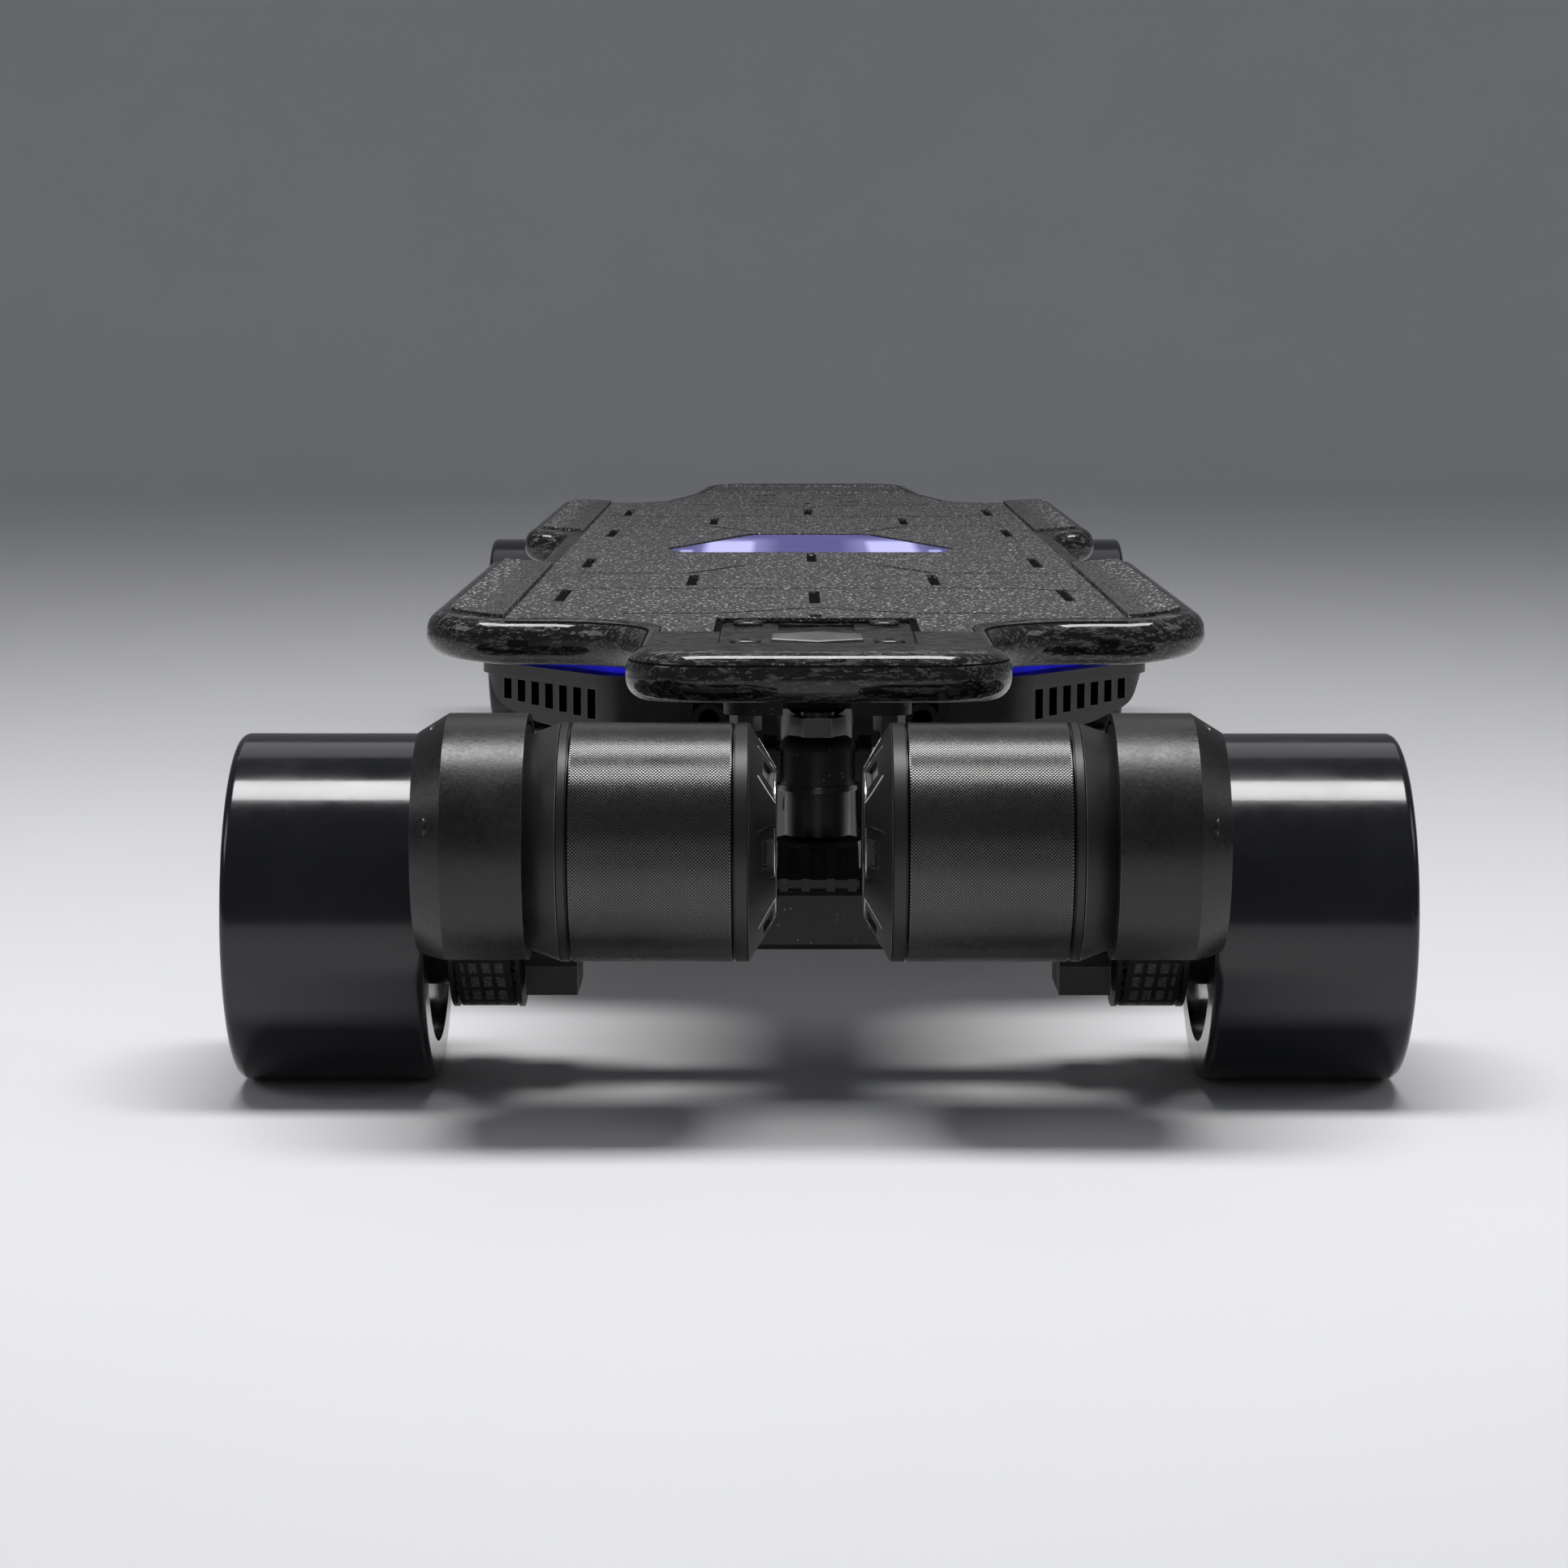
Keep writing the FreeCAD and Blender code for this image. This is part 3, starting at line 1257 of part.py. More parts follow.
def motor_caps(side):
    """Slotted inner cap and plain outer cap."""
    inner = cone(cap_face_radius, motor_radius, (cap_face_x, motor_y, motor_z), (1, 0, 0),
                 sleeve_inner_x - cap_face_x)
    lip = rod(motor_radius - can_wall, (sleeve_inner_x, motor_y, motor_z), (1, 0, 0), 1.4)
    inner = inner.fuse(lip)
    socket_start = (cap_face_x - 1, motor_y, motor_z)
    inner = inner.cut(hexagon(cap_socket_flats, socket_start, (1, 0, 0), cap_socket_depth + 1))
    for k in range(cap_slot_count):
        slot = box(cap_face_x - 1, sleeve_inner_x + 3, motor_y - cap_slot_half, motor_y + cap_slot_half,
                   motor_z + cap_slot_low, motor_z + cap_slot_high)
        inner = inner.cut(turned(slot, (0, motor_y, motor_z), (1, 0, 0), 360 / cap_slot_count * (k + 0.5)))
    inner = inner.cut(rod(shaft_radius + 0.08, (cap_face_x + 2.4, motor_y, motor_z), (1, 0, 0), 10))
    outer = cone(motor_radius, cap_rim_radius, (sleeve_outer_x, motor_y, motor_z), (1, 0, 0),
                 mount_inner_x - sleeve_outer_x)
    spigot = rod(motor_radius - can_wall, (sleeve_outer_x - 1.4, motor_y, motor_z), (1, 0, 0), 1.4)
    stem = rod(stem_radius, (32.0, motor_y, motor_z), (1, 0, 0), sleeve_outer_x - 32.0)
    outer = join([outer, spigot, stem])
    outer = outer.cut(rod(shaft_radius + 0.08, (20, motor_y, motor_z), (1, 0, 0), 80))
    return on_side(group([inner, outer]), side)


def motor_rotor(side):
    """Shaft, magnet bell and motor pulley, which turn as one."""
    shaft = rod(shaft_radius, (cap_face_x + 3.0, motor_y, motor_z), (1, 0, 0), 101.5 - cap_face_x - 3.0)
    disc = rod(bell_radius, (21.4, motor_y, motor_z), (1, 0, 0), 2.4)
    bell = ring(bell_radius, bell_radius - bell_wall, (23.8, motor_y, motor_z), (1, 0, 0), 38.0)
    pulley = toothed_disc(motor_pulley_teeth, pulley_inner_x, pulley_outer_x, (motor_y, motor_z))
    pulley = pulley.cut(rod(shaft_radius, (60, motor_y, motor_z), (1, 0, 0), 60))
    return on_side(group([join([shaft, disc, bell]), pulley]), side)


def motor_stator(side):
    """Laminated stator with twelve slots, on the outer cap's stem."""
    body = ring(stator_radius, stem_radius, (27.0, motor_y, motor_z), (1, 0, 0), 32.0)
    for k in range(stator_slots):
        slot = box(26, 60, motor_y - 1.6, motor_y + 1.6, motor_z + 12.0, motor_z + 30.0)
        body = body.cut(turned(slot, (0, motor_y, motor_z), (1, 0, 0), 360 / stator_slots * k))
    return on_side(body, side)


def build_deck():
    deck_top_shell()
    deck_bottom_shell()
    grips()
    badge()
    deck_light()
    truck_bolts()
    enclosure_tray()
    enclosure_seal()
    enclosure_screws()
    underglow()
    battery()
    electronics()
    power_button()
    charge_port()
    charge_cover()
    motor_glands()


def build_trucks():
    pad = riser_pad()
    add("riser_pads", group([pad, mirror_y(pad)]))
    kingpins = base_kingpin()
    add("base_kingpins", group(kingpins + [mirror_y(s) for s in kingpins]))
    bushings = base_bushings()
    add("base_bushings", group(bushings + [mirror_y(s) for s in bushings]))
    single = [("baseplate", rear_baseplate()), ("link", rear_link()), ("hanger", rear_hanger())]
    for name, shape in single:
        add("rear_" + name, shape)
        add("front_" + name, mirror_y(shape))
    several = [("link_kingpin", link_kingpin()), ("link_bushings", link_bushings()), ("axle", rear_axle())]
    for name, shapes in several:
        add("rear_" + name, group(shapes))
        add("front_" + name, group([mirror_y(s) for s in shapes]))


def build_wheels():
    for end, y in (("rear", rear_axle_y), ("front", front_axle_y)):
        for hand, side in (("left", -1), ("right", 1)):
            label = end + "_" + hand
            add(label + "_tyre", tyre(side, y))
            add(label + "_core", core(side, y))
            add(label + "_bearings", bearings(side, y))


def build_drive():
    for hand, side in (("left", -1), ("right", 1)):
        add(hand + "_motor_mount", motor_mount(side))
        add(hand + "_motor_sleeve", motor_sleeve(side))
        add(hand + "_motor_caps", motor_caps(side))
        add(hand + "_motor_rotor", motor_rotor(side))
        add(hand + "_wheel_pulley", wheel_pulley(side))
        add(hand + "_belt", belt(side))
        add(hand + "_belt_cover", belt_cover(side))
    add("motor_stators", group([motor_stator(-1), motor_stator(1)]))


def main():
    os.makedirs("parts", exist_ok=True)
    build_deck()
    build_trucks()
    build_wheels()
    build_drive()
    for name, shape in nodes.items():
        shape.exportStep("parts/" + name + ".step")
    print(len(nodes), "nodes written")


main()
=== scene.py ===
"""Electric skateboard: looks, camera and studio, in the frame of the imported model."""
import json
import math

import bpy
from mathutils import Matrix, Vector

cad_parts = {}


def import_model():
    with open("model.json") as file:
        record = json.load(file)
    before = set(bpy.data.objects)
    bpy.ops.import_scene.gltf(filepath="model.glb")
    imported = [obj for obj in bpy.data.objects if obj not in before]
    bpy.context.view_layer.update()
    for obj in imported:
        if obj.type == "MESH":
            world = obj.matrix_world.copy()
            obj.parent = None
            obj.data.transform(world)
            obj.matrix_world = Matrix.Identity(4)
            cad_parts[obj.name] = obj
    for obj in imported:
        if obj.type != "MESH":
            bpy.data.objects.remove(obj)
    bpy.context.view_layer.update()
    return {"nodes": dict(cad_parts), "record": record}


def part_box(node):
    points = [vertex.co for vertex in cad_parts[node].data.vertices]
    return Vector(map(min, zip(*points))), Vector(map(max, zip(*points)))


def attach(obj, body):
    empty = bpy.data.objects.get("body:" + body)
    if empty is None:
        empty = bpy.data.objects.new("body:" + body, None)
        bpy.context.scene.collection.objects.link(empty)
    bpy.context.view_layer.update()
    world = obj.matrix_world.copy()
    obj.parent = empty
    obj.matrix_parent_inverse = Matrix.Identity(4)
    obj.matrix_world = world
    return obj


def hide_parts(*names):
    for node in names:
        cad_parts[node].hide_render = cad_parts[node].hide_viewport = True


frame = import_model()

MM = 0.001
SIDES = {"left": -1, "right": 1}

# Places read off the model, in millimetres: the pocket under the middle grip, and the motor sleeves
POCKET_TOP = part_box("grip_centre")[0].z / MM + 0.3
POCKET_DEPTH = 0.6
POCKET_HALF_WIDTH = 95.0
low, high = (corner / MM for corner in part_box("right_motor_sleeve"))
MOTOR_Y = (low.y + high.y) / 2
MOTOR_Z = (low.z + high.z) / 2
MOTOR_R = (high.z - low.z) / 2
SLEEVE_IN, SLEEVE_OUT = low.x, high.x

# A groove near each end of a sleeve, the inner end first, and the diamond knurl between them
GROOVE_FROM_END = (3.8, 2.6)
CAN_WALL = 2.0
KNURL_DEPTH = 0.06
KNURL_AROUND = 432
KNURL_ROWS = 92

# The inner cap's flat end, in millimetres, and how many slots it has
CAP_FACE_R = 19.2
CAP_FACE_X = 11.5
CAP_SLOTS = 6

# Sharpness at which an edge starts to show wear and is fully worn, and the depth of lathe rings in mm
WEAR_FROM, WEAR_FULL = 0.02, 0.25
TURNED_DEPTH = 0.006


# ---------------------------------------------------------------- node materials

class Paint:
    """One node material. Patterns are laid out in the object's own coordinates, in millimetres."""

    def __init__(self, name, color, rough, metal=0.0, **sockets):
        self.material = bpy.data.materials.new(name)
        self.material.use_nodes = True
        tree = self.material.node_tree
        tree.nodes.clear()
        self.nodes = tree.nodes
        self.links = tree.links
        self.shader = self.node("ShaderNodeBsdfPrincipled")
        output = self.node("ShaderNodeOutputMaterial")
        self.links.new(self.shader.outputs["BSDF"], output.inputs["Surface"])
        self.set("Base Color", (*color, 1.0))
        self.set("Roughness", rough)
        self.set("Metallic", metal)
        for socket, value in sockets.items():
            self.set(socket.replace("_", " "), value)
        coords = self.node("ShaderNodeTexCoord")
        self.mm = self.vector("SCALE", coords.outputs["Object"], scale=1 / MM)

    def node(self, kind, **settings):
        made = self.nodes.new(kind)
        for key, value in settings.items():
            setattr(made, key, value)
        return made

    def set(self, socket, value):
        target = self.shader.inputs[socket]
        if isinstance(value, bpy.types.NodeSocket):
            self.links.new(value, target)
        else:
            target.default_value = value

    def feed(self, node, socket, value):
        if isinstance(value, bpy.types.NodeSocket):
            self.links.new(value, node.inputs[socket])
        elif value is not None:
            node.inputs[socket].default_value = value

    def linked(self, socket):
        """What already feeds a socket of the shader."""
        return self.shader.inputs[socket].links[0].from_socket

    def math(self, operation, a, b=None):
        made = self.node("ShaderNodeMath", operation=operation)
        self.feed(made, 0, a)
        self.feed(made, 1, b)
        return made.outputs[0]

    def times(self, first, *others):
        """Product of several masks."""
        for other in others:
            first = self.math("MULTIPLY", first, other)
        return first

    def vector(self, operation, a, b=None, scale=None):
        made = self.node("ShaderNodeVectorMath", operation=operation)
        self.feed(made, 0, a)
        self.feed(made, 1, b)
        if scale is not None:
            made.inputs["Scale"].default_value = scale
        return made.outputs["Value" if operation in ("DOT_PRODUCT", "LENGTH") else "Vector"]

    def axes(self, turn=(0, 0, 0), scale=(1, 1, 1), shift=(0, 0, 0), source=None):
        made = self.node("ShaderNodeMapping")
        self.feed(made, "Vector", source or self.mm)
        made.inputs["Location"].default_value = shift
        made.inputs["Rotation"].default_value = turn
        made.inputs["Scale"].default_value = scale
        return made.outputs[0]

    def part_of(self, vector, axis):
        """One component of a vector or colour: 0, 1 or 2."""
        made = self.node("ShaderNodeSeparateXYZ")
        self.feed(made, 0, vector)
        return made.outputs[axis]

    def noise(self, per_mm, detail=4.0, rough=0.6, source=None):
        made = self.node("ShaderNodeTexNoise")
        self.feed(made, "Vector", source or self.mm)
        made.inputs["Scale"].default_value = per_mm
        made.inputs["Detail"].default_value = detail
        made.inputs["Roughness"].default_value = rough
        return made.outputs["Fac"]

    def cells(self, per_mm, source=None):
        made = self.node("ShaderNodeTexVoronoi")
        self.feed(made, "Vector", source or self.mm)
        made.inputs["Scale"].default_value = per_mm
        return made

    def span(self, value, low, high, to_low=0.0, to_high=1.0):
        """Value moved from the range low..high to to_low..to_high, and held at its ends."""
        made = self.node("ShaderNodeMapRange")
        for socket, number in zip((1, 2, 3, 4), (low, high, to_low, to_high)):
            made.inputs[socket].default_value = number
        self.feed(made, 0, value)
        return made.outputs[0]

    def band(self, value, start, full, fade, end):
        """Mask that is 1 from full to fade, and 0 before start and past end."""
        return self.times(self.span(value, start, full), self.span(value, fade, end, 1.0, 0.0))

    def mix(self, factor, a, b):
        made = self.node("ShaderNodeMix", data_type="RGBA")
        self.feed(made, 0, factor)
        self.feed(made, 6, (*a, 1.0) if isinstance(a, tuple) else a)
        self.feed(made, 7, (*b, 1.0) if isinstance(b, tuple) else b)
        return made.outputs[2]

    def bump(self, height, depth_mm):
        """Relief of depth_mm for a height from 0 to 1."""
        made = self.node("ShaderNodeBump")
        made.inputs["Distance"].default_value = depth_mm * MM
        self.feed(made, "Height", height)
        self.set("Normal", made.outputs[0])

    def edges(self, width_mm):
        """Mask of the outer edges, broken up so that wear looks uneven."""
        bevel = self.node("ShaderNodeBevel", samples=4)
        bevel.inputs["Radius"].default_value = width_mm * MM
        flat = self.node("ShaderNodeNewGeometry")
        same = self.vector("DOT_PRODUCT", bevel.outputs[0], flat.outputs["Normal"])
        away = self.math("SUBTRACT", 1.0, same)
        ragged = self.times(away, self.span(self.noise(0.9, 5), 0.35, 0.65, 0.3, 1.4))
        return self.span(ragged, WEAR_FROM, WEAR_FULL)


def lighter(color, factor):
    return tuple(min(1.0, part * factor) for part in color)


def finish(name, color, rough, metal=0.0, grain=1.5, depth=0.02, vary=0.25, sheen_vary=0.08,
           edge=None, edge_color=None):
    """General finish: mottled colour, uneven gloss and fine grain, with wear along the edges.

    The wear is edge mm wide, and is left out where edge is None.
    """
    paint = Paint(name, color, rough, metal)
    cloud = paint.noise(0.045, 5, 0.62)
    fine = paint.noise(grain, 3, 0.6)
    blend = paint.math("ADD", paint.times(cloud, 0.6), paint.times(fine, 0.4))
    tone = paint.mix(paint.span(blend, 0.35, 0.65), lighter(color, 1 - vary), lighter(color, 1 + vary))
    gloss = paint.span(blend, 0.3, 0.7, max(0.02, rough - sheen_vary), min(1.0, rough + sheen_vary))
    if edge:
        mask = paint.edges(edge)
        tone = paint.mix(mask, tone, edge_color or lighter(color, 2.6))
        gloss = paint.mix(mask, gloss, (max(0.05, rough - 0.12),) * 3)
    paint.set("Base Color", tone)
    paint.set("Roughness", gloss)
    paint.bump(fine, depth)
    return paint


def forged_carbon():
    """Chopped carbon tow under clear lacquer: thin slivers at several angles, each with its own tilt.

    The floor of the grip's pocket, just under the top face, is left bare and matt, and painted near black
    as painted shade in the grip's slots and gaps.
    """
    paint = Paint("forged_carbon", (0.008, 0.008, 0.0085), 0.34, 0.0, Specular_IOR_Level=0.1,
                  Coat_Roughness=0.02, Coat_IOR=1.5)
    warp = paint.node("ShaderNodeTexNoise")
    paint.feed(warp, "Vector", paint.mm)
    warp.inputs["Scale"].default_value = 0.45
    warp.inputs["Detail"].default_value = 3.0
    offset = paint.vector("SCALE", warp.outputs["Color"], scale=2.2)
    bent = paint.vector("ADD", paint.mm, offset)
    tone = (0.0065, 0.0065, 0.007)
    tilt = None
    for turn, shift in ((0.25, 0.0), (1.35, 31.0), (-0.65, 77.0), (2.1, 123.0), (0.8, 171.0)):
        lean = (0.5 * math.sin(3 * turn), turn * 0.6, turn)
        laid = paint.axes(lean, (0.30, 1.9, 1.7), (shift, shift, 0), bent)
        flake = paint.cells(1.0, laid)
        chosen = paint.span(paint.part_of(flake.outputs["Color"], 0), 0.94, 0.95)
        streak = paint.noise(1.0, 4, 0.7, paint.axes(lean, (0.25, 5.0, 5.0), (0, 0, 0), bent))
        bright = paint.mix(paint.span(streak, 0.36, 0.64), (0.020, 0.020, 0.021), (0.155, 0.149, 0.138))
        tone = paint.mix(chosen, tone, bright)
        own_tilt = flake.outputs["Color"]
        tilt = own_tilt if tilt is None else paint.mix(chosen, tilt, own_tilt)
    height = paint.part_of(paint.mm, 2)
    beside = paint.math("ABSOLUTE", paint.part_of(paint.mm, 0))
    # The floor of the grip's pocket, under its slots and gaps, is painted near black as painted shade.
    pocket = paint.times(paint.math("LESS_THAN", height, POCKET_TOP),
                         paint.math("GREATER_THAN", height, POCKET_TOP - POCKET_DEPTH),
                         paint.math("LESS_THAN", beside, POCKET_HALF_WIDTH))
    centred = paint.vector("SUBTRACT", tilt, (0.5, 0.5, 0.5))
    geometry = paint.node("ShaderNodeNewGeometry")
    leaning = paint.vector("ADD", geometry.outputs["Normal"], paint.vector("SCALE", centred, scale=0.5))
    # Painted shade: the pocket floor's colour is near black.
    paint.set("Base Color", paint.mix(pocket, tone, (0.002, 0.002, 0.002)))
    paint.set("Normal", paint.vector("NORMALIZE", leaning))
    upward = paint.span(paint.part_of(geometry.outputs["Normal"], 2), 0.93, 0.99)
    bare = paint.math("MAXIMUM", pocket, paint.times(upward, 0.86))
    paint.set("Coat Weight", paint.span(bare, 0.0, 1.0, 0.85, 0.0))
    gloss = paint.span(paint.noise(0.8, 4), 0.3, 0.7, 0.28, 0.44)
    gloss = paint.mix(upward, gloss, (0.24, 0.24, 0.24))
    paint.set("Roughness", paint.mix(pocket, gloss, (0.95, 0.95, 0.95)))
    return paint


def grip_grit():
    """Coarse mineral grains in a dark binder, with scattered larger grains painted near white as painted
    glints.
    """
    paint = Paint("grip_grit", (0.06, 0.058, 0.06), 0.9)
    grains = paint.cells(1.15)
    pick = paint.part_of(grains.outputs["Color"], 0)
    small = paint.cells(2.6)
    pick_small = paint.part_of(small.outputs["Color"], 1)
    # Scattered larger grains painted near white: painted glints of light on the grit.
    glint_cells = paint.cells(0.55)
    chosen = paint.span(paint.part_of(glint_cells.outputs["Color"], 2), 0.70, 0.74)
    painted_glint = paint.times(chosen, paint.span(glint_cells.outputs["Distance"], 0.24, 0.34, 1.0, 0.0))
    wear = paint.noise(0.02, 5, 0.6)
    dark = paint.mix(paint.span(wear, 0.35, 0.65), (0.046, 0.044, 0.046), (0.070, 0.067, 0.070))
    tone = paint.mix(paint.span(pick, 0.25, 0.95), dark, (0.17, 0.166, 0.17))
    # The palest small grains, painted near white: partly their own pale colour, partly painted glints.
    tone = paint.mix(paint.span(pick_small, 0.90, 0.97), tone, (0.46, 0.45, 0.46))
    tone = paint.mix(paint.span(grains.outputs["Distance"], 0.30, 0.62), tone, (0.018, 0.017, 0.018))
    paint.set("Base Color", paint.mix(painted_glint, tone, (0.72, 0.70, 0.71)))
    paint.set("Roughness", paint.span(pick_small, 0.80, 0.97, 0.92, 0.28))
    rise = paint.math("SUBTRACT", 1.0, grains.outputs["Distance"])
    rise = paint.math("ADD", paint.times(rise, 0.75), paint.times(pick_small, 0.25))
    paint.bump(paint.math("ADD", rise, paint.times(painted_glint, 0.6)), 0.32)
    return paint


def tyre_urethane():
    """Cast urethane, near black with a blue cast: smooth and glossy, with faint dust and a few chips."""
    color = (0.0042, 0.0046, 0.0078)
    paint = Paint("tyre_urethane", color, 0.16, 0.0, IOR=1.45, Coat_Weight=0.3, Coat_Roughness=0.04)
    specks = paint.cells(0.30)
    dust = paint.noise(0.03, 6, 0.66)
    tone = paint.mix(paint.span(dust, 0.50, 0.85), color, (0.010, 0.0105, 0.014))
    near = paint.math("LESS_THAN", specks.outputs["Distance"], 0.045)
    chosen = paint.math("GREATER_THAN", paint.part_of(specks.outputs["Color"], 0), 0.6)
    chips = paint.times(near, chosen, 0.5)
    paint.set("Base Color", paint.mix(chips, tone, (0.10, 0.10, 0.12)))
    paint.set("Roughness", paint.span(dust, 0.35, 0.75, 0.11, 0.24))
    paint.bump(paint.noise(0.25, 4), 0.02)
    return paint


def turned_metal(name, color, rough, metal=1.0, lines=9.0):
    """Lathe-turned metal: fine rings along X over a cloudy tone."""
    paint = Paint(name, color, rough, metal)
    rings = paint.noise(1.0, 3, 0.7, paint.axes(scale=(lines, 0.05, 0.05)))
    cloud = paint.noise(0.08, 5, 0.6)
    blend = paint.math("ADD", paint.times(rings, 0.55), paint.times(cloud, 0.45))
    tone = paint.mix(paint.span(blend, 0.35, 0.65), lighter(color, 0.72), lighter(color, 1.25))
    paint.set("Base Color", tone)
    paint.set("Roughness", paint.span(blend, 0.3, 0.7, max(0.05, rough - 0.08), rough + 0.1))
    paint.bump(rings, TURNED_DEPTH)
    return paint


def knurled_metal():
    """Dark anodised can: knurl in the can's own tone on its points, its hollows painted near black as
    painted shade, with duller collars.
    """
    color = (0.150, 0.147, 0.145)
    paint = finish("can_metal", color, 0.25, 0.9, grain=2.2, depth=0.006, vary=0.12)
    centred = paint.vector("SUBTRACT", paint.mm, (0.0, MOTOR_Y, MOTOR_Z))
    radius = paint.vector("LENGTH", paint.vector("MULTIPLY", centred, (0.0, 1.0, 1.0)))
    valley_shade = paint.span(radius, MOTOR_R - KNURL_DEPTH, MOTOR_R - 0.25 * KNURL_DEPTH, 1.0, 0.0)
    along = paint.math("ABSOLUTE", paint.part_of(paint.mm, 0))
    band = paint.times(paint.math("GREATER_THAN", along, SLEEVE_IN + GROOVE_FROM_END[0]),
                       paint.math("LESS_THAN", along, SLEEVE_OUT - GROOVE_FROM_END[1]))
    # Knurl hollows painted near black: painted shade.
    tone = paint.mix(valley_shade, paint.linked("Base Color"), (0.008, 0.008, 0.008))
    paint.set("Base Color", paint.mix(band, (0.045, 0.044, 0.044), tone))
    paint.set("Roughness", paint.mix(band, (0.42, 0.42, 0.42), paint.linked("Roughness")))
    return paint


def cast_speckle(name, color, rough):
    """Powder coat over cast metal: pitted skin and scattered pale specks where it has chipped."""
    paint = finish(name, color, rough, 0.0, grain=1.3, depth=0.06, vary=0.35)
    specks = paint.cells(0.55)
    near = paint.span(specks.outputs["Distance"], 0.10, 0.16, 1.0, 0.0)
    chosen = paint.math("GREATER_THAN", paint.part_of(specks.outputs["Color"], 0), 0.72)
    mask = paint.times(near, chosen)
    paint.set("Base Color", paint.mix(mask, paint.linked("Base Color"), (0.30, 0.29, 0.27)))
    return paint


def lit_lens():
    """Frosted light window: a violet field, two bright patches and two small bright ends."""
    paint = Paint("light_window", (0.03, 0.03, 0.07), 0.6, Specular_IOR_Level=0.1)
    rear_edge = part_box("led_lens")[0].y / MM
    x = paint.math("ABSOLUTE", paint.part_of(paint.mm, 0))
    y = paint.math("SUBTRACT", paint.part_of(paint.mm, 1), rear_edge)
    patch = paint.times(paint.band(x, 20.5, 24, 40, 44), paint.span(y, 66, 86, 1.0, 0.0))
    halo = paint.times(paint.band(x, 12, 22, 38, 48), paint.span(y, 74, 100, 0.30, 0.0))
    tips = paint.times(paint.band(x, 45.5, 47, 50.5, 52), paint.span(y, 16, 24, 0.7, 0.0))
    glow = paint.math("MAXIMUM", paint.math("MAXIMUM", patch, halo), tips)
    ribs = paint.noise(1.0, 3, 0.6, paint.axes(scale=(0.02, 0.5, 0.5)))
    field = paint.mix(paint.span(ribs, 0.35, 0.65), (0.060, 0.058, 0.18), (0.095, 0.092, 0.25))
    paint.set("Emission Color", paint.mix(glow, field, (0.56, 0.56, 1.0)))
    paint.set("Emission Strength", 1.0)
    paint.bump(paint.noise(1.4, 3), 0.03)
    return paint


def glowing_strip():
    """Diffusing strip, lit deep blue, a little brighter over each lamp."""
    paint = Paint("light_strip", (0.10, 0.10, 0.30), 0.5, 0.0)
    lamps = paint.span(paint.noise(0.06, 2), 0.4, 0.6)
    paint.set("Emission Color", paint.mix(lamps, (0.004, 0.005, 0.45), (0.012, 0.014, 1.0)))
    paint.set("Emission Strength", 0.35)
    paint.bump(paint.noise(1.2, 2), 0.03)
    return paint


def printed_belt():
    """Rubber belt with worn, pale blocks printed in rows along its back."""
    block_pitch, block_fill = 3.6, 0.62
    row_pitch, row_fill = 7.5, 0.72
    print_in, print_out = 86.2, 98.2
    belt_run = (0.0, -0.4, 0.92)
    paint = finish("belt_rubber", (0.009, 0.009, 0.0095), 0.50, grain=1.8, depth=0.06)
    across = paint.math("ABSOLUTE", paint.part_of(paint.mm, 0))
    run = paint.vector("DOT_PRODUCT", paint.mm, belt_run)
    in_block = paint.math("FRACT", paint.times(across, 1 / block_pitch))
    in_row = paint.math("FRACT", paint.times(run, 1 / row_pitch))
    blocks = paint.times(paint.math("LESS_THAN", in_block, block_fill),
                         paint.math("LESS_THAN", in_row, row_fill))
    inside = paint.times(paint.math("GREATER_THAN", across, print_in),
                         paint.math("LESS_THAN", across, print_out))
    worn = paint.span(paint.noise(1.3, 4, 0.7), 0.42, 0.60, 0.15, 1.0)
    printed = paint.times(blocks, inside, worn, 0.8)
    paint.set("Base Color", paint.mix(printed, paint.linked("Base Color"), (0.16, 0.155, 0.15)))
    return paint


def circuit_board(name, color):
    """Board with a soldermask tone and pale square pads."""
    paint = finish(name, color, 0.35, 0.0, grain=2.0, depth=0.03, vary=0.3)
    pads = paint.cells(0.22)
    square = paint.math("LESS_THAN", pads.outputs["Distance"], 0.22)
    paint.set("Base Color", paint.mix(square, paint.linked("Base Color"), (0.62, 0.55, 0.35)))
    return paint


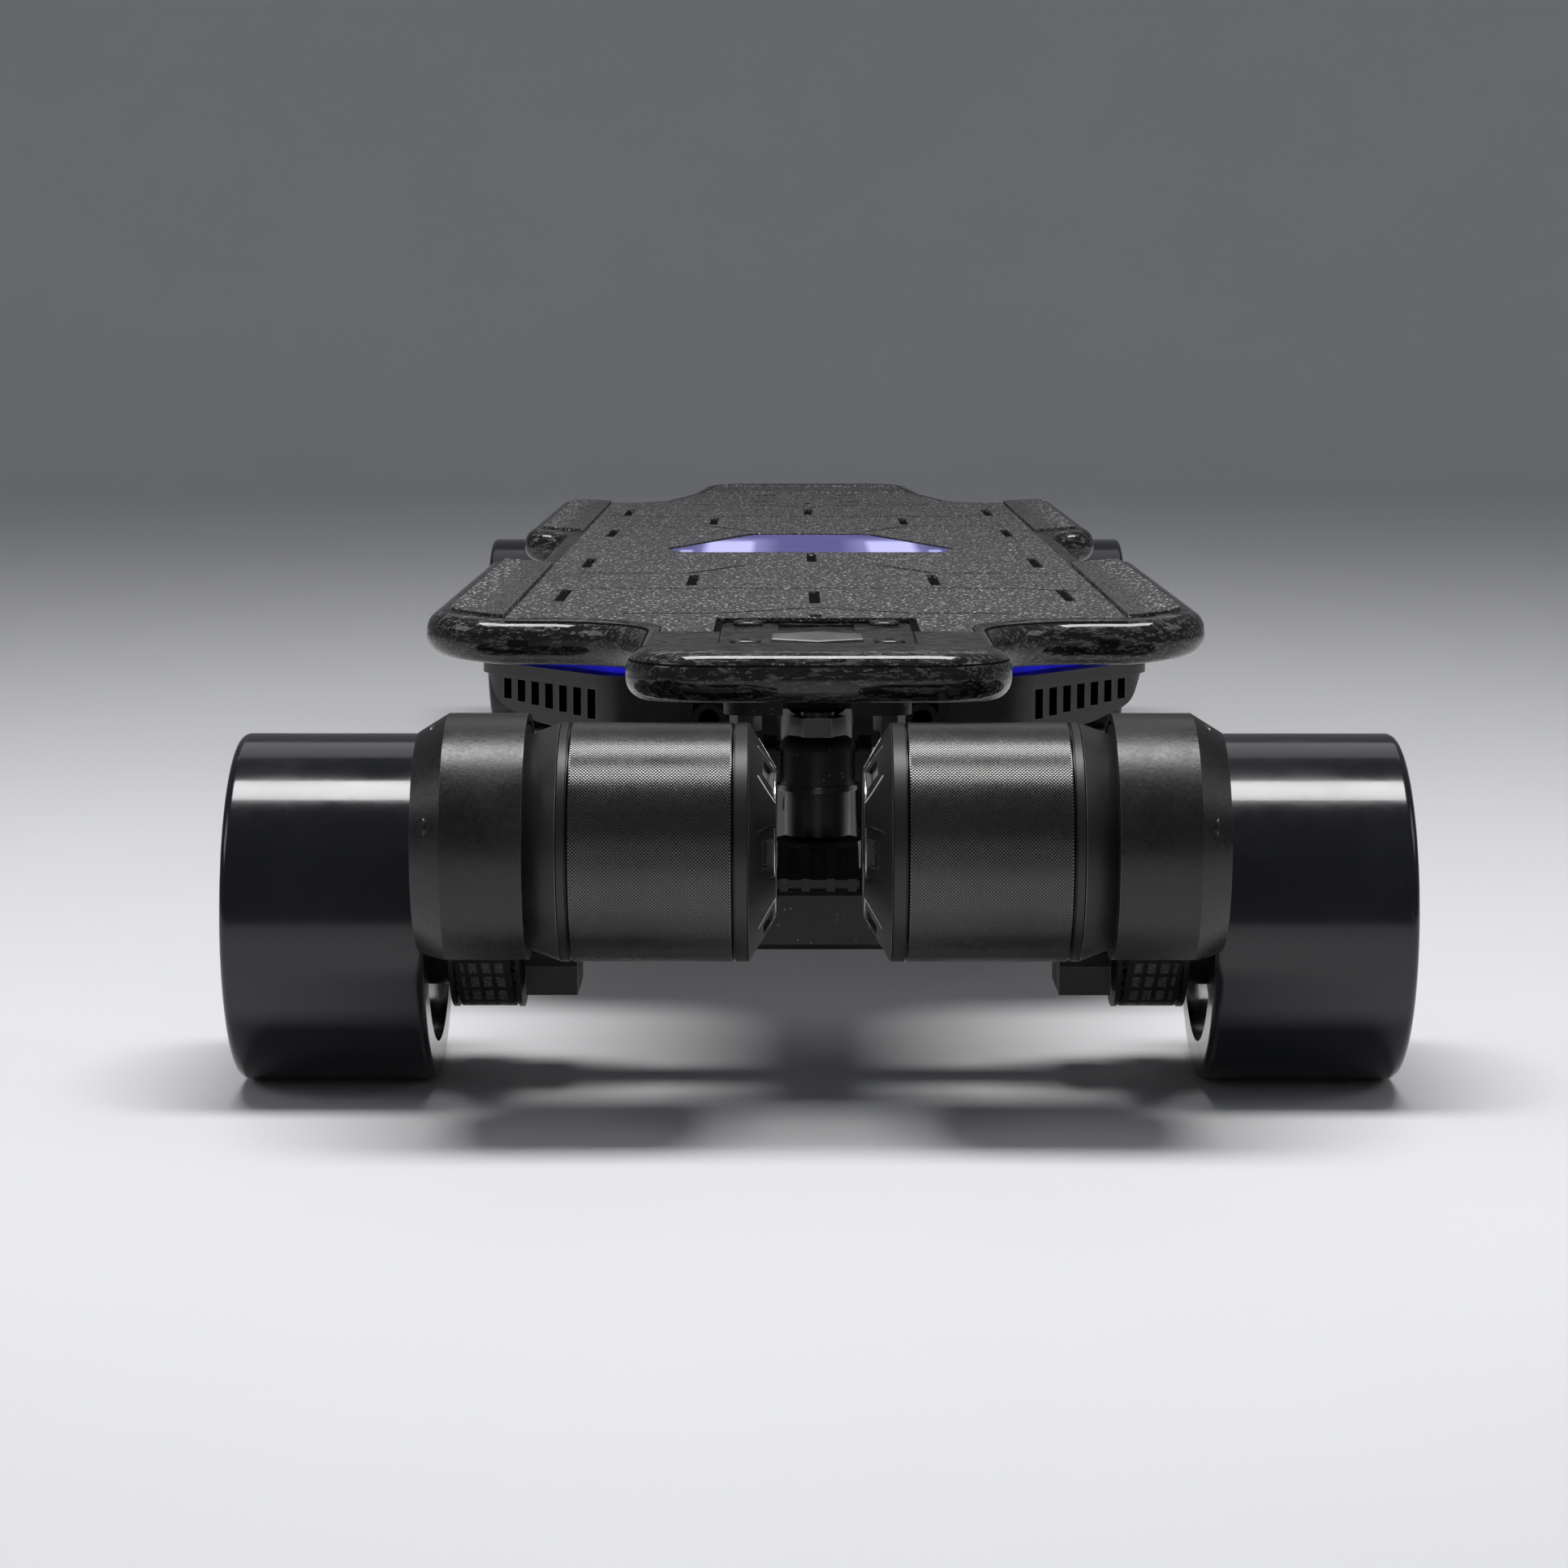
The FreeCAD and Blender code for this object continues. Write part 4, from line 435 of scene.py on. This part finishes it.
looks = {
    "forged_carbon": forged_carbon(),
    "grip_grit": grip_grit(),
    "badge_metal": turned_metal("badge_metal", (0.30, 0.29, 0.285), 0.34, lines=0.05, metal=0.9),
    "lens": lit_lens(),
    "circuit_board": circuit_board("circuit_board", (0.015, 0.05, 0.03)),
    "fastener_steel": finish("fastener_steel", (0.09, 0.088, 0.088), 0.30, 0.9, grain=2.5, edge=0.25,
                             edge_color=(0.45, 0.44, 0.43)),
    "enclosure_plastic": finish("enclosure_plastic", (0.030, 0.029, 0.031), 0.42, grain=1.1, depth=0.09,
                                vary=0.3, edge=0.7, edge_color=(0.075, 0.073, 0.076)),
    "seal_rubber": finish("seal_rubber", (0.010, 0.010, 0.011), 0.75, grain=0.8, depth=0.05),
    "light_strip": glowing_strip(),
    "cell_wrap": finish("cell_wrap", (0.02, 0.11, 0.22), 0.35, grain=0.3, depth=0.02),
    "electronics": circuit_board("electronics", (0.012, 0.02, 0.05)),
    "button_metal": turned_metal("button_metal", (0.42, 0.41, 0.40), 0.28, lines=0.05),
    "port_plastic": finish("port_plastic", (0.015, 0.015, 0.016), 0.36, grain=1.4, depth=0.04, edge=0.3),
    "cap_rubber": finish("cap_rubber", (0.014, 0.014, 0.015), 0.62, grain=1.1, depth=0.06, edge=0.5),
    "truck_metal": cast_speckle("truck_metal", (0.013, 0.013, 0.0135), 0.44),
    "kingpin_steel": finish("kingpin_steel", (0.10, 0.098, 0.095), 0.32, 0.95, grain=3.0, edge=0.3,
                            edge_color=(0.5, 0.48, 0.46)),
    "bushing_urethane": finish("bushing_urethane", (0.012, 0.012, 0.013), 0.38, grain=0.25, depth=0.03),
    "axle_steel": turned_metal("axle_steel", (0.55, 0.54, 0.53), 0.25),
    "tyre_urethane": tyre_urethane(),
    "core_plastic": finish("core_plastic", (0.016, 0.016, 0.018), 0.40, grain=0.9, depth=0.05, edge=0.5,
                           edge_color=(0.05, 0.05, 0.055)),
    "bearing_steel": turned_metal("bearing_steel", (0.50, 0.50, 0.49), 0.22),
    "can_metal": knurled_metal(),
    "cap_metal": finish("cap_metal", (0.028, 0.027, 0.028), 0.40, 0.5, grain=1.8, depth=0.03, edge=0.22,
                        edge_color=(0.42, 0.41, 0.40)),
    "rotor_steel": turned_metal("rotor_steel", (0.34, 0.33, 0.32), 0.33),
    "pulley_metal": turned_metal("pulley_metal", (0.055, 0.054, 0.055), 0.36, metal=0.8),
    "belt_rubber": printed_belt(),
    "cover_plastic": finish("cover_plastic", (0.0075, 0.0073, 0.0075), 0.34, grain=0.9, depth=0.05,
                            vary=0.45, sheen_vary=0.13, edge=0.6, edge_color=(0.055, 0.053, 0.054)),
    "mount_metal": finish("mount_metal", (0.020, 0.0195, 0.020), 0.42, 0.4, grain=1.6, depth=0.05,
                          edge=0.4, edge_color=(0.20, 0.195, 0.19)),
    "stator_steel": turned_metal("stator_steel", (0.25, 0.22, 0.19), 0.45, lines=2.0),
}

for part in frame["record"]["subparts"]:
    shape = frame["nodes"][part["node"]]
    shape.data.materials.clear()
    shape.data.materials.append(looks[part["material_slot"]].material)


# ---------------------------------------------------------------- pieces made here

def piece(name, verts, faces, slot_name, body, flip=False):
    """Mesh piece, given in millimetres in the model's frame, riding on a body of the model."""
    mesh = bpy.data.meshes.new(name)
    mesh.from_pydata([Vector(v) * MM for v in verts], [], faces)
    if flip:
        mesh.flip_normals()
    mesh.update()
    mesh.materials.append(looks[slot_name].material)
    made = bpy.data.objects.new(name, mesh)
    bpy.context.collection.objects.link(made)
    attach(made, body)
    return made


def lathe_faces(rows, around, closed=True):
    """Faces between rows of points that each go once round; closed joins the last row to the first."""
    faces = []
    for row in range(rows if closed else rows - 1):
        a, b = row * around, (row + 1) % rows * around
        faces += [(a + k, b + k, b + (k + 1) % around, a + (k + 1) % around) for k in range(around)]
    return faces


def sleeve(side_name):
    """Motor can with a real diamond knurl between its two grooves, in place of the plain one."""
    side = SIDES[side_name]
    groove_in = SLEEVE_IN + GROOVE_FROM_END[0]
    groove_out = SLEEVE_OUT - GROOVE_FROM_END[1]
    chamfer, lip, near_foot, far_foot, knurl_gap = 0.35, 0.3, 0.15, 0.25, 0.6
    knurl_in, knurl_out = groove_in + knurl_gap, groove_out - knurl_gap
    bore, floor, brow = MOTOR_R - CAN_WALL, MOTOR_R - 0.5, MOTOR_R - 0.05
    step = (knurl_out - knurl_in) / (KNURL_ROWS + 1)
    profile = [(SLEEVE_IN, bore), (SLEEVE_IN, MOTOR_R - chamfer), (SLEEVE_IN + chamfer, MOTOR_R),
               (groove_in - lip, MOTOR_R), (groove_in - near_foot, floor),
               (groove_in + far_foot, floor), (knurl_in, brow)]
    first = len(profile)
    profile += [(knurl_in + step * (k + 1), None) for k in range(KNURL_ROWS)]
    profile += [(knurl_out, brow), (groove_out - far_foot, floor), (groove_out + near_foot, floor),
                (groove_out + lip, MOTOR_R), (SLEEVE_OUT - chamfer, MOTOR_R),
                (SLEEVE_OUT, MOTOR_R - chamfer), (SLEEVE_OUT, bore)]
    verts = []
    for index, (x, radius) in enumerate(profile):
        for k in range(KNURL_AROUND):
            r = radius
            if r is None:
                r = MOTOR_R - (KNURL_DEPTH if (index - first + k) % 2 else 0.0)
            turn = 2 * math.pi * k / KNURL_AROUND
            verts.append((side * x, MOTOR_Y + r * math.cos(turn), MOTOR_Z + r * math.sin(turn)))
    faces = []
    for face in lathe_faces(len(profile), KNURL_AROUND):
        row, k = divmod(face[0], KNURL_AROUND)
        a, b, c, d = face
        if first <= row < first + KNURL_ROWS - 1:
            faces += [(a, b, c), (a, c, d)] if (row - first + k) % 2 else [(a, b, d), (b, c, d)]
        else:
            faces.append(face)
    made = piece("knurled_sleeve_" + side_name, verts, faces, "can_metal", "rear_hanger", flip=side > 0)
    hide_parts(side_name + "_motor_sleeve")


def bar(points, normals, width, height):
    """Points and faces of a raised strip along a line, narrower at its top than at its foot."""
    foot, top, sink = 0.5, 0.32, 0.15
    verts = []
    last = len(points) - 1
    for index, (point, normal) in enumerate(zip(points, normals)):
        before = points[max(index - 1, 0)]
        after = points[min(index + 1, last)]
        along = (after - before).normalized()
        across = along.cross(normal).normalized()
        if 0 < index < last:
            bend = (point - before).normalized().dot((after - point).normalized())
            across /= max(0.5, math.sqrt((1 + bend) / 2))
        for reach, rise in ((foot, -sink), (top, height), (-top, height), (-foot, -sink)):
            verts.append(point + across * width * reach + normal * rise)
    faces = [(0, 1, 2, 3), tuple(4 * last + k for k in (3, 2, 1, 0))]
    for index in range(last):
        a, b = 4 * index, 4 * index + 4
        faces += [(a + k, b + k, b + (k + 1) % 4, a + (k + 1) % 4) for k in range(4)]
    return verts, faces


def merged(parts):
    """One list of points and one of faces, out of several pairs of them."""
    verts, faces = [], []
    for part_verts, part_faces in parts:
        base = len(verts)
        verts += part_verts
        faces += [tuple(base + k for k in face) for face in part_faces]
    return verts, faces


def cap_point(side, radius, turn):
    """Point and outward normal on the inner cap's cone."""
    fall = (SLEEVE_IN - CAP_FACE_X) / (MOTOR_R - CAP_FACE_R)
    x = SLEEVE_IN - (MOTOR_R - radius) * fall
    outward = Vector((0, math.cos(turn), math.sin(turn)))
    normal = (Vector((-side, 0, 0)) + outward * fall).normalized()
    return Vector((side * x, MOTOR_Y, MOTOR_Z)) + outward * radius, normal


def cap_trim(side_name):
    """Bright machined edges round each of the inner cap's slots, and a bright plate sunk in each slot."""
    side = SIDES[side_name]
    rim, shoulder, arm_end = CAP_FACE_R + 0.45, 22.4, 27.5
    half_route = [(arm_end, 13), (shoulder, 17.5), (rim, 19.5), (rim, 13), (rim, 6.5)]
    route = [(radius, -turn) for radius, turn in half_route] + [(rim, 0)] + half_route[::-1]
    edge_width, edge_rise = 0.75, 0.22
    plate_from, plate_to, plate_width, plate_rise, plate_sink = 20.6, 24.8, 7.0, 0.1, 1.1
    middles = [math.radians(360 / CAP_SLOTS * k) for k in range(CAP_SLOTS)]
    edges, plates = [], []
    for middle in middles:
        spots = [cap_point(side, radius, middle + math.radians(turn)) for radius, turn in route]
        edges.append(bar([spot for spot, _ in spots], [normal for _, normal in spots],
                         edge_width, edge_rise))
        ends = [cap_point(side, radius, middle) for radius in (plate_from, plate_to)]
        sunk = [spot - normal * plate_sink for spot, normal in ends]
        plates.append(bar(sunk, [normal for _, normal in ends], plate_width, plate_rise))
    piece("cap_edges_" + side_name, *merged(edges), "bearing_steel", "rear_hanger")
    piece("cap_plates_" + side_name, *merged(plates), "bearing_steel", "rear_hanger")


for name in SIDES:
    sleeve(name)
    cap_trim(name)


# ---------------------------------------------------------------- studio

def camera():
    """Long lens, low behind the tail."""
    data = bpy.data.cameras.new("camera")
    data.lens = 85.0
    data.sensor_width = 36.0
    data.clip_start = 0.01
    made = bpy.data.objects.new("camera", data)
    made.location = (-0.0073, -1.44675, 0.215)
    made.rotation_euler = (math.radians(82.69), 0.0, math.radians(0.126))
    bpy.context.collection.objects.link(made)
    bpy.context.scene.camera = made


def backdrop():
    """Pale floor that curves up into a wall all round."""
    hub, radius, bend, height, drop = 0.02, 4.2, 1.2, 3.4, 0.0002
    around, steps = 96, 14
    profile = [(hub, 0.0), (radius - bend, 0.0)]
    profile += [(radius - bend + bend * math.sin(a), bend - bend * math.cos(a))
                for a in (math.pi / 2 * k / steps for k in range(1, steps + 1))]
    profile.append((radius, height))
    turns = [2 * math.pi * k / around for k in range(around)]
    verts = [(r * math.cos(turn), r * math.sin(turn), z) for r, z in profile for turn in turns]
    faces = lathe_faces(len(profile), around, closed=False)
    faces.append(tuple(range(around)))
    mesh = bpy.data.meshes.new("studio_floor")
    mesh.from_pydata(verts, [], faces)
    mesh.update()
    for polygon in mesh.polygons:
        polygon.use_smooth = True
    paint = Paint("studio_floor", (0.78, 0.78, 0.79), 0.7)
    tint = paint.noise(0.004, 4)
    paint.set("Base Color", paint.mix(tint, (0.76, 0.76, 0.77), (0.80, 0.80, 0.81)))
    mesh.materials.append(paint.material)
    floor = bpy.data.objects.new("studio_floor", mesh)
    floor.location.z = -drop
    bpy.context.collection.objects.link(floor)


def area(name, place, aim, width, depth, power):
    """Rectangular soft lamp at a place, turned to face a point; sizes in metres and power in watts."""
    data = bpy.data.lights.new(name, "AREA")
    data.shape = "RECTANGLE"
    data.size = width
    data.size_y = depth
    data.energy = power
    made = bpy.data.objects.new(name, data)
    made.location = place
    made.rotation_mode = "QUATERNION"
    made.rotation_quaternion = (Vector(aim) - Vector(place)).to_track_quat("-Z", "Y")
    bpy.context.collection.objects.link(made)


def world():
    """Dim, slightly cool light from all round."""
    made = bpy.data.worlds.new("studio")
    bpy.context.scene.world = made
    made.use_nodes = True
    background = made.node_tree.nodes["Background"].inputs
    background["Color"].default_value = (0.9, 0.93, 1.0, 1.0)
    background["Strength"].default_value = 0.16


camera()
backdrop()
world()
area("softbox_top", (0.0, -0.42, 1.3), (0.0, -0.42, 0.1), 1.05, 0.36, 17)
area("softbox_far", (0.0, 0.9, 1.3), (0.0, 0.3, 0.1), 1.5, 0.8, 2)
area("softbox_left", (-1.8, -0.9, 1.3), (0.0, -0.3, 0.08), 0.8, 0.8, 4)
area("softbox_right", (1.8, -0.7, 1.3), (0.0, -0.3, 0.08), 0.8, 0.8, 3)
bpy.context.scene.view_settings.view_transform = "Standard"
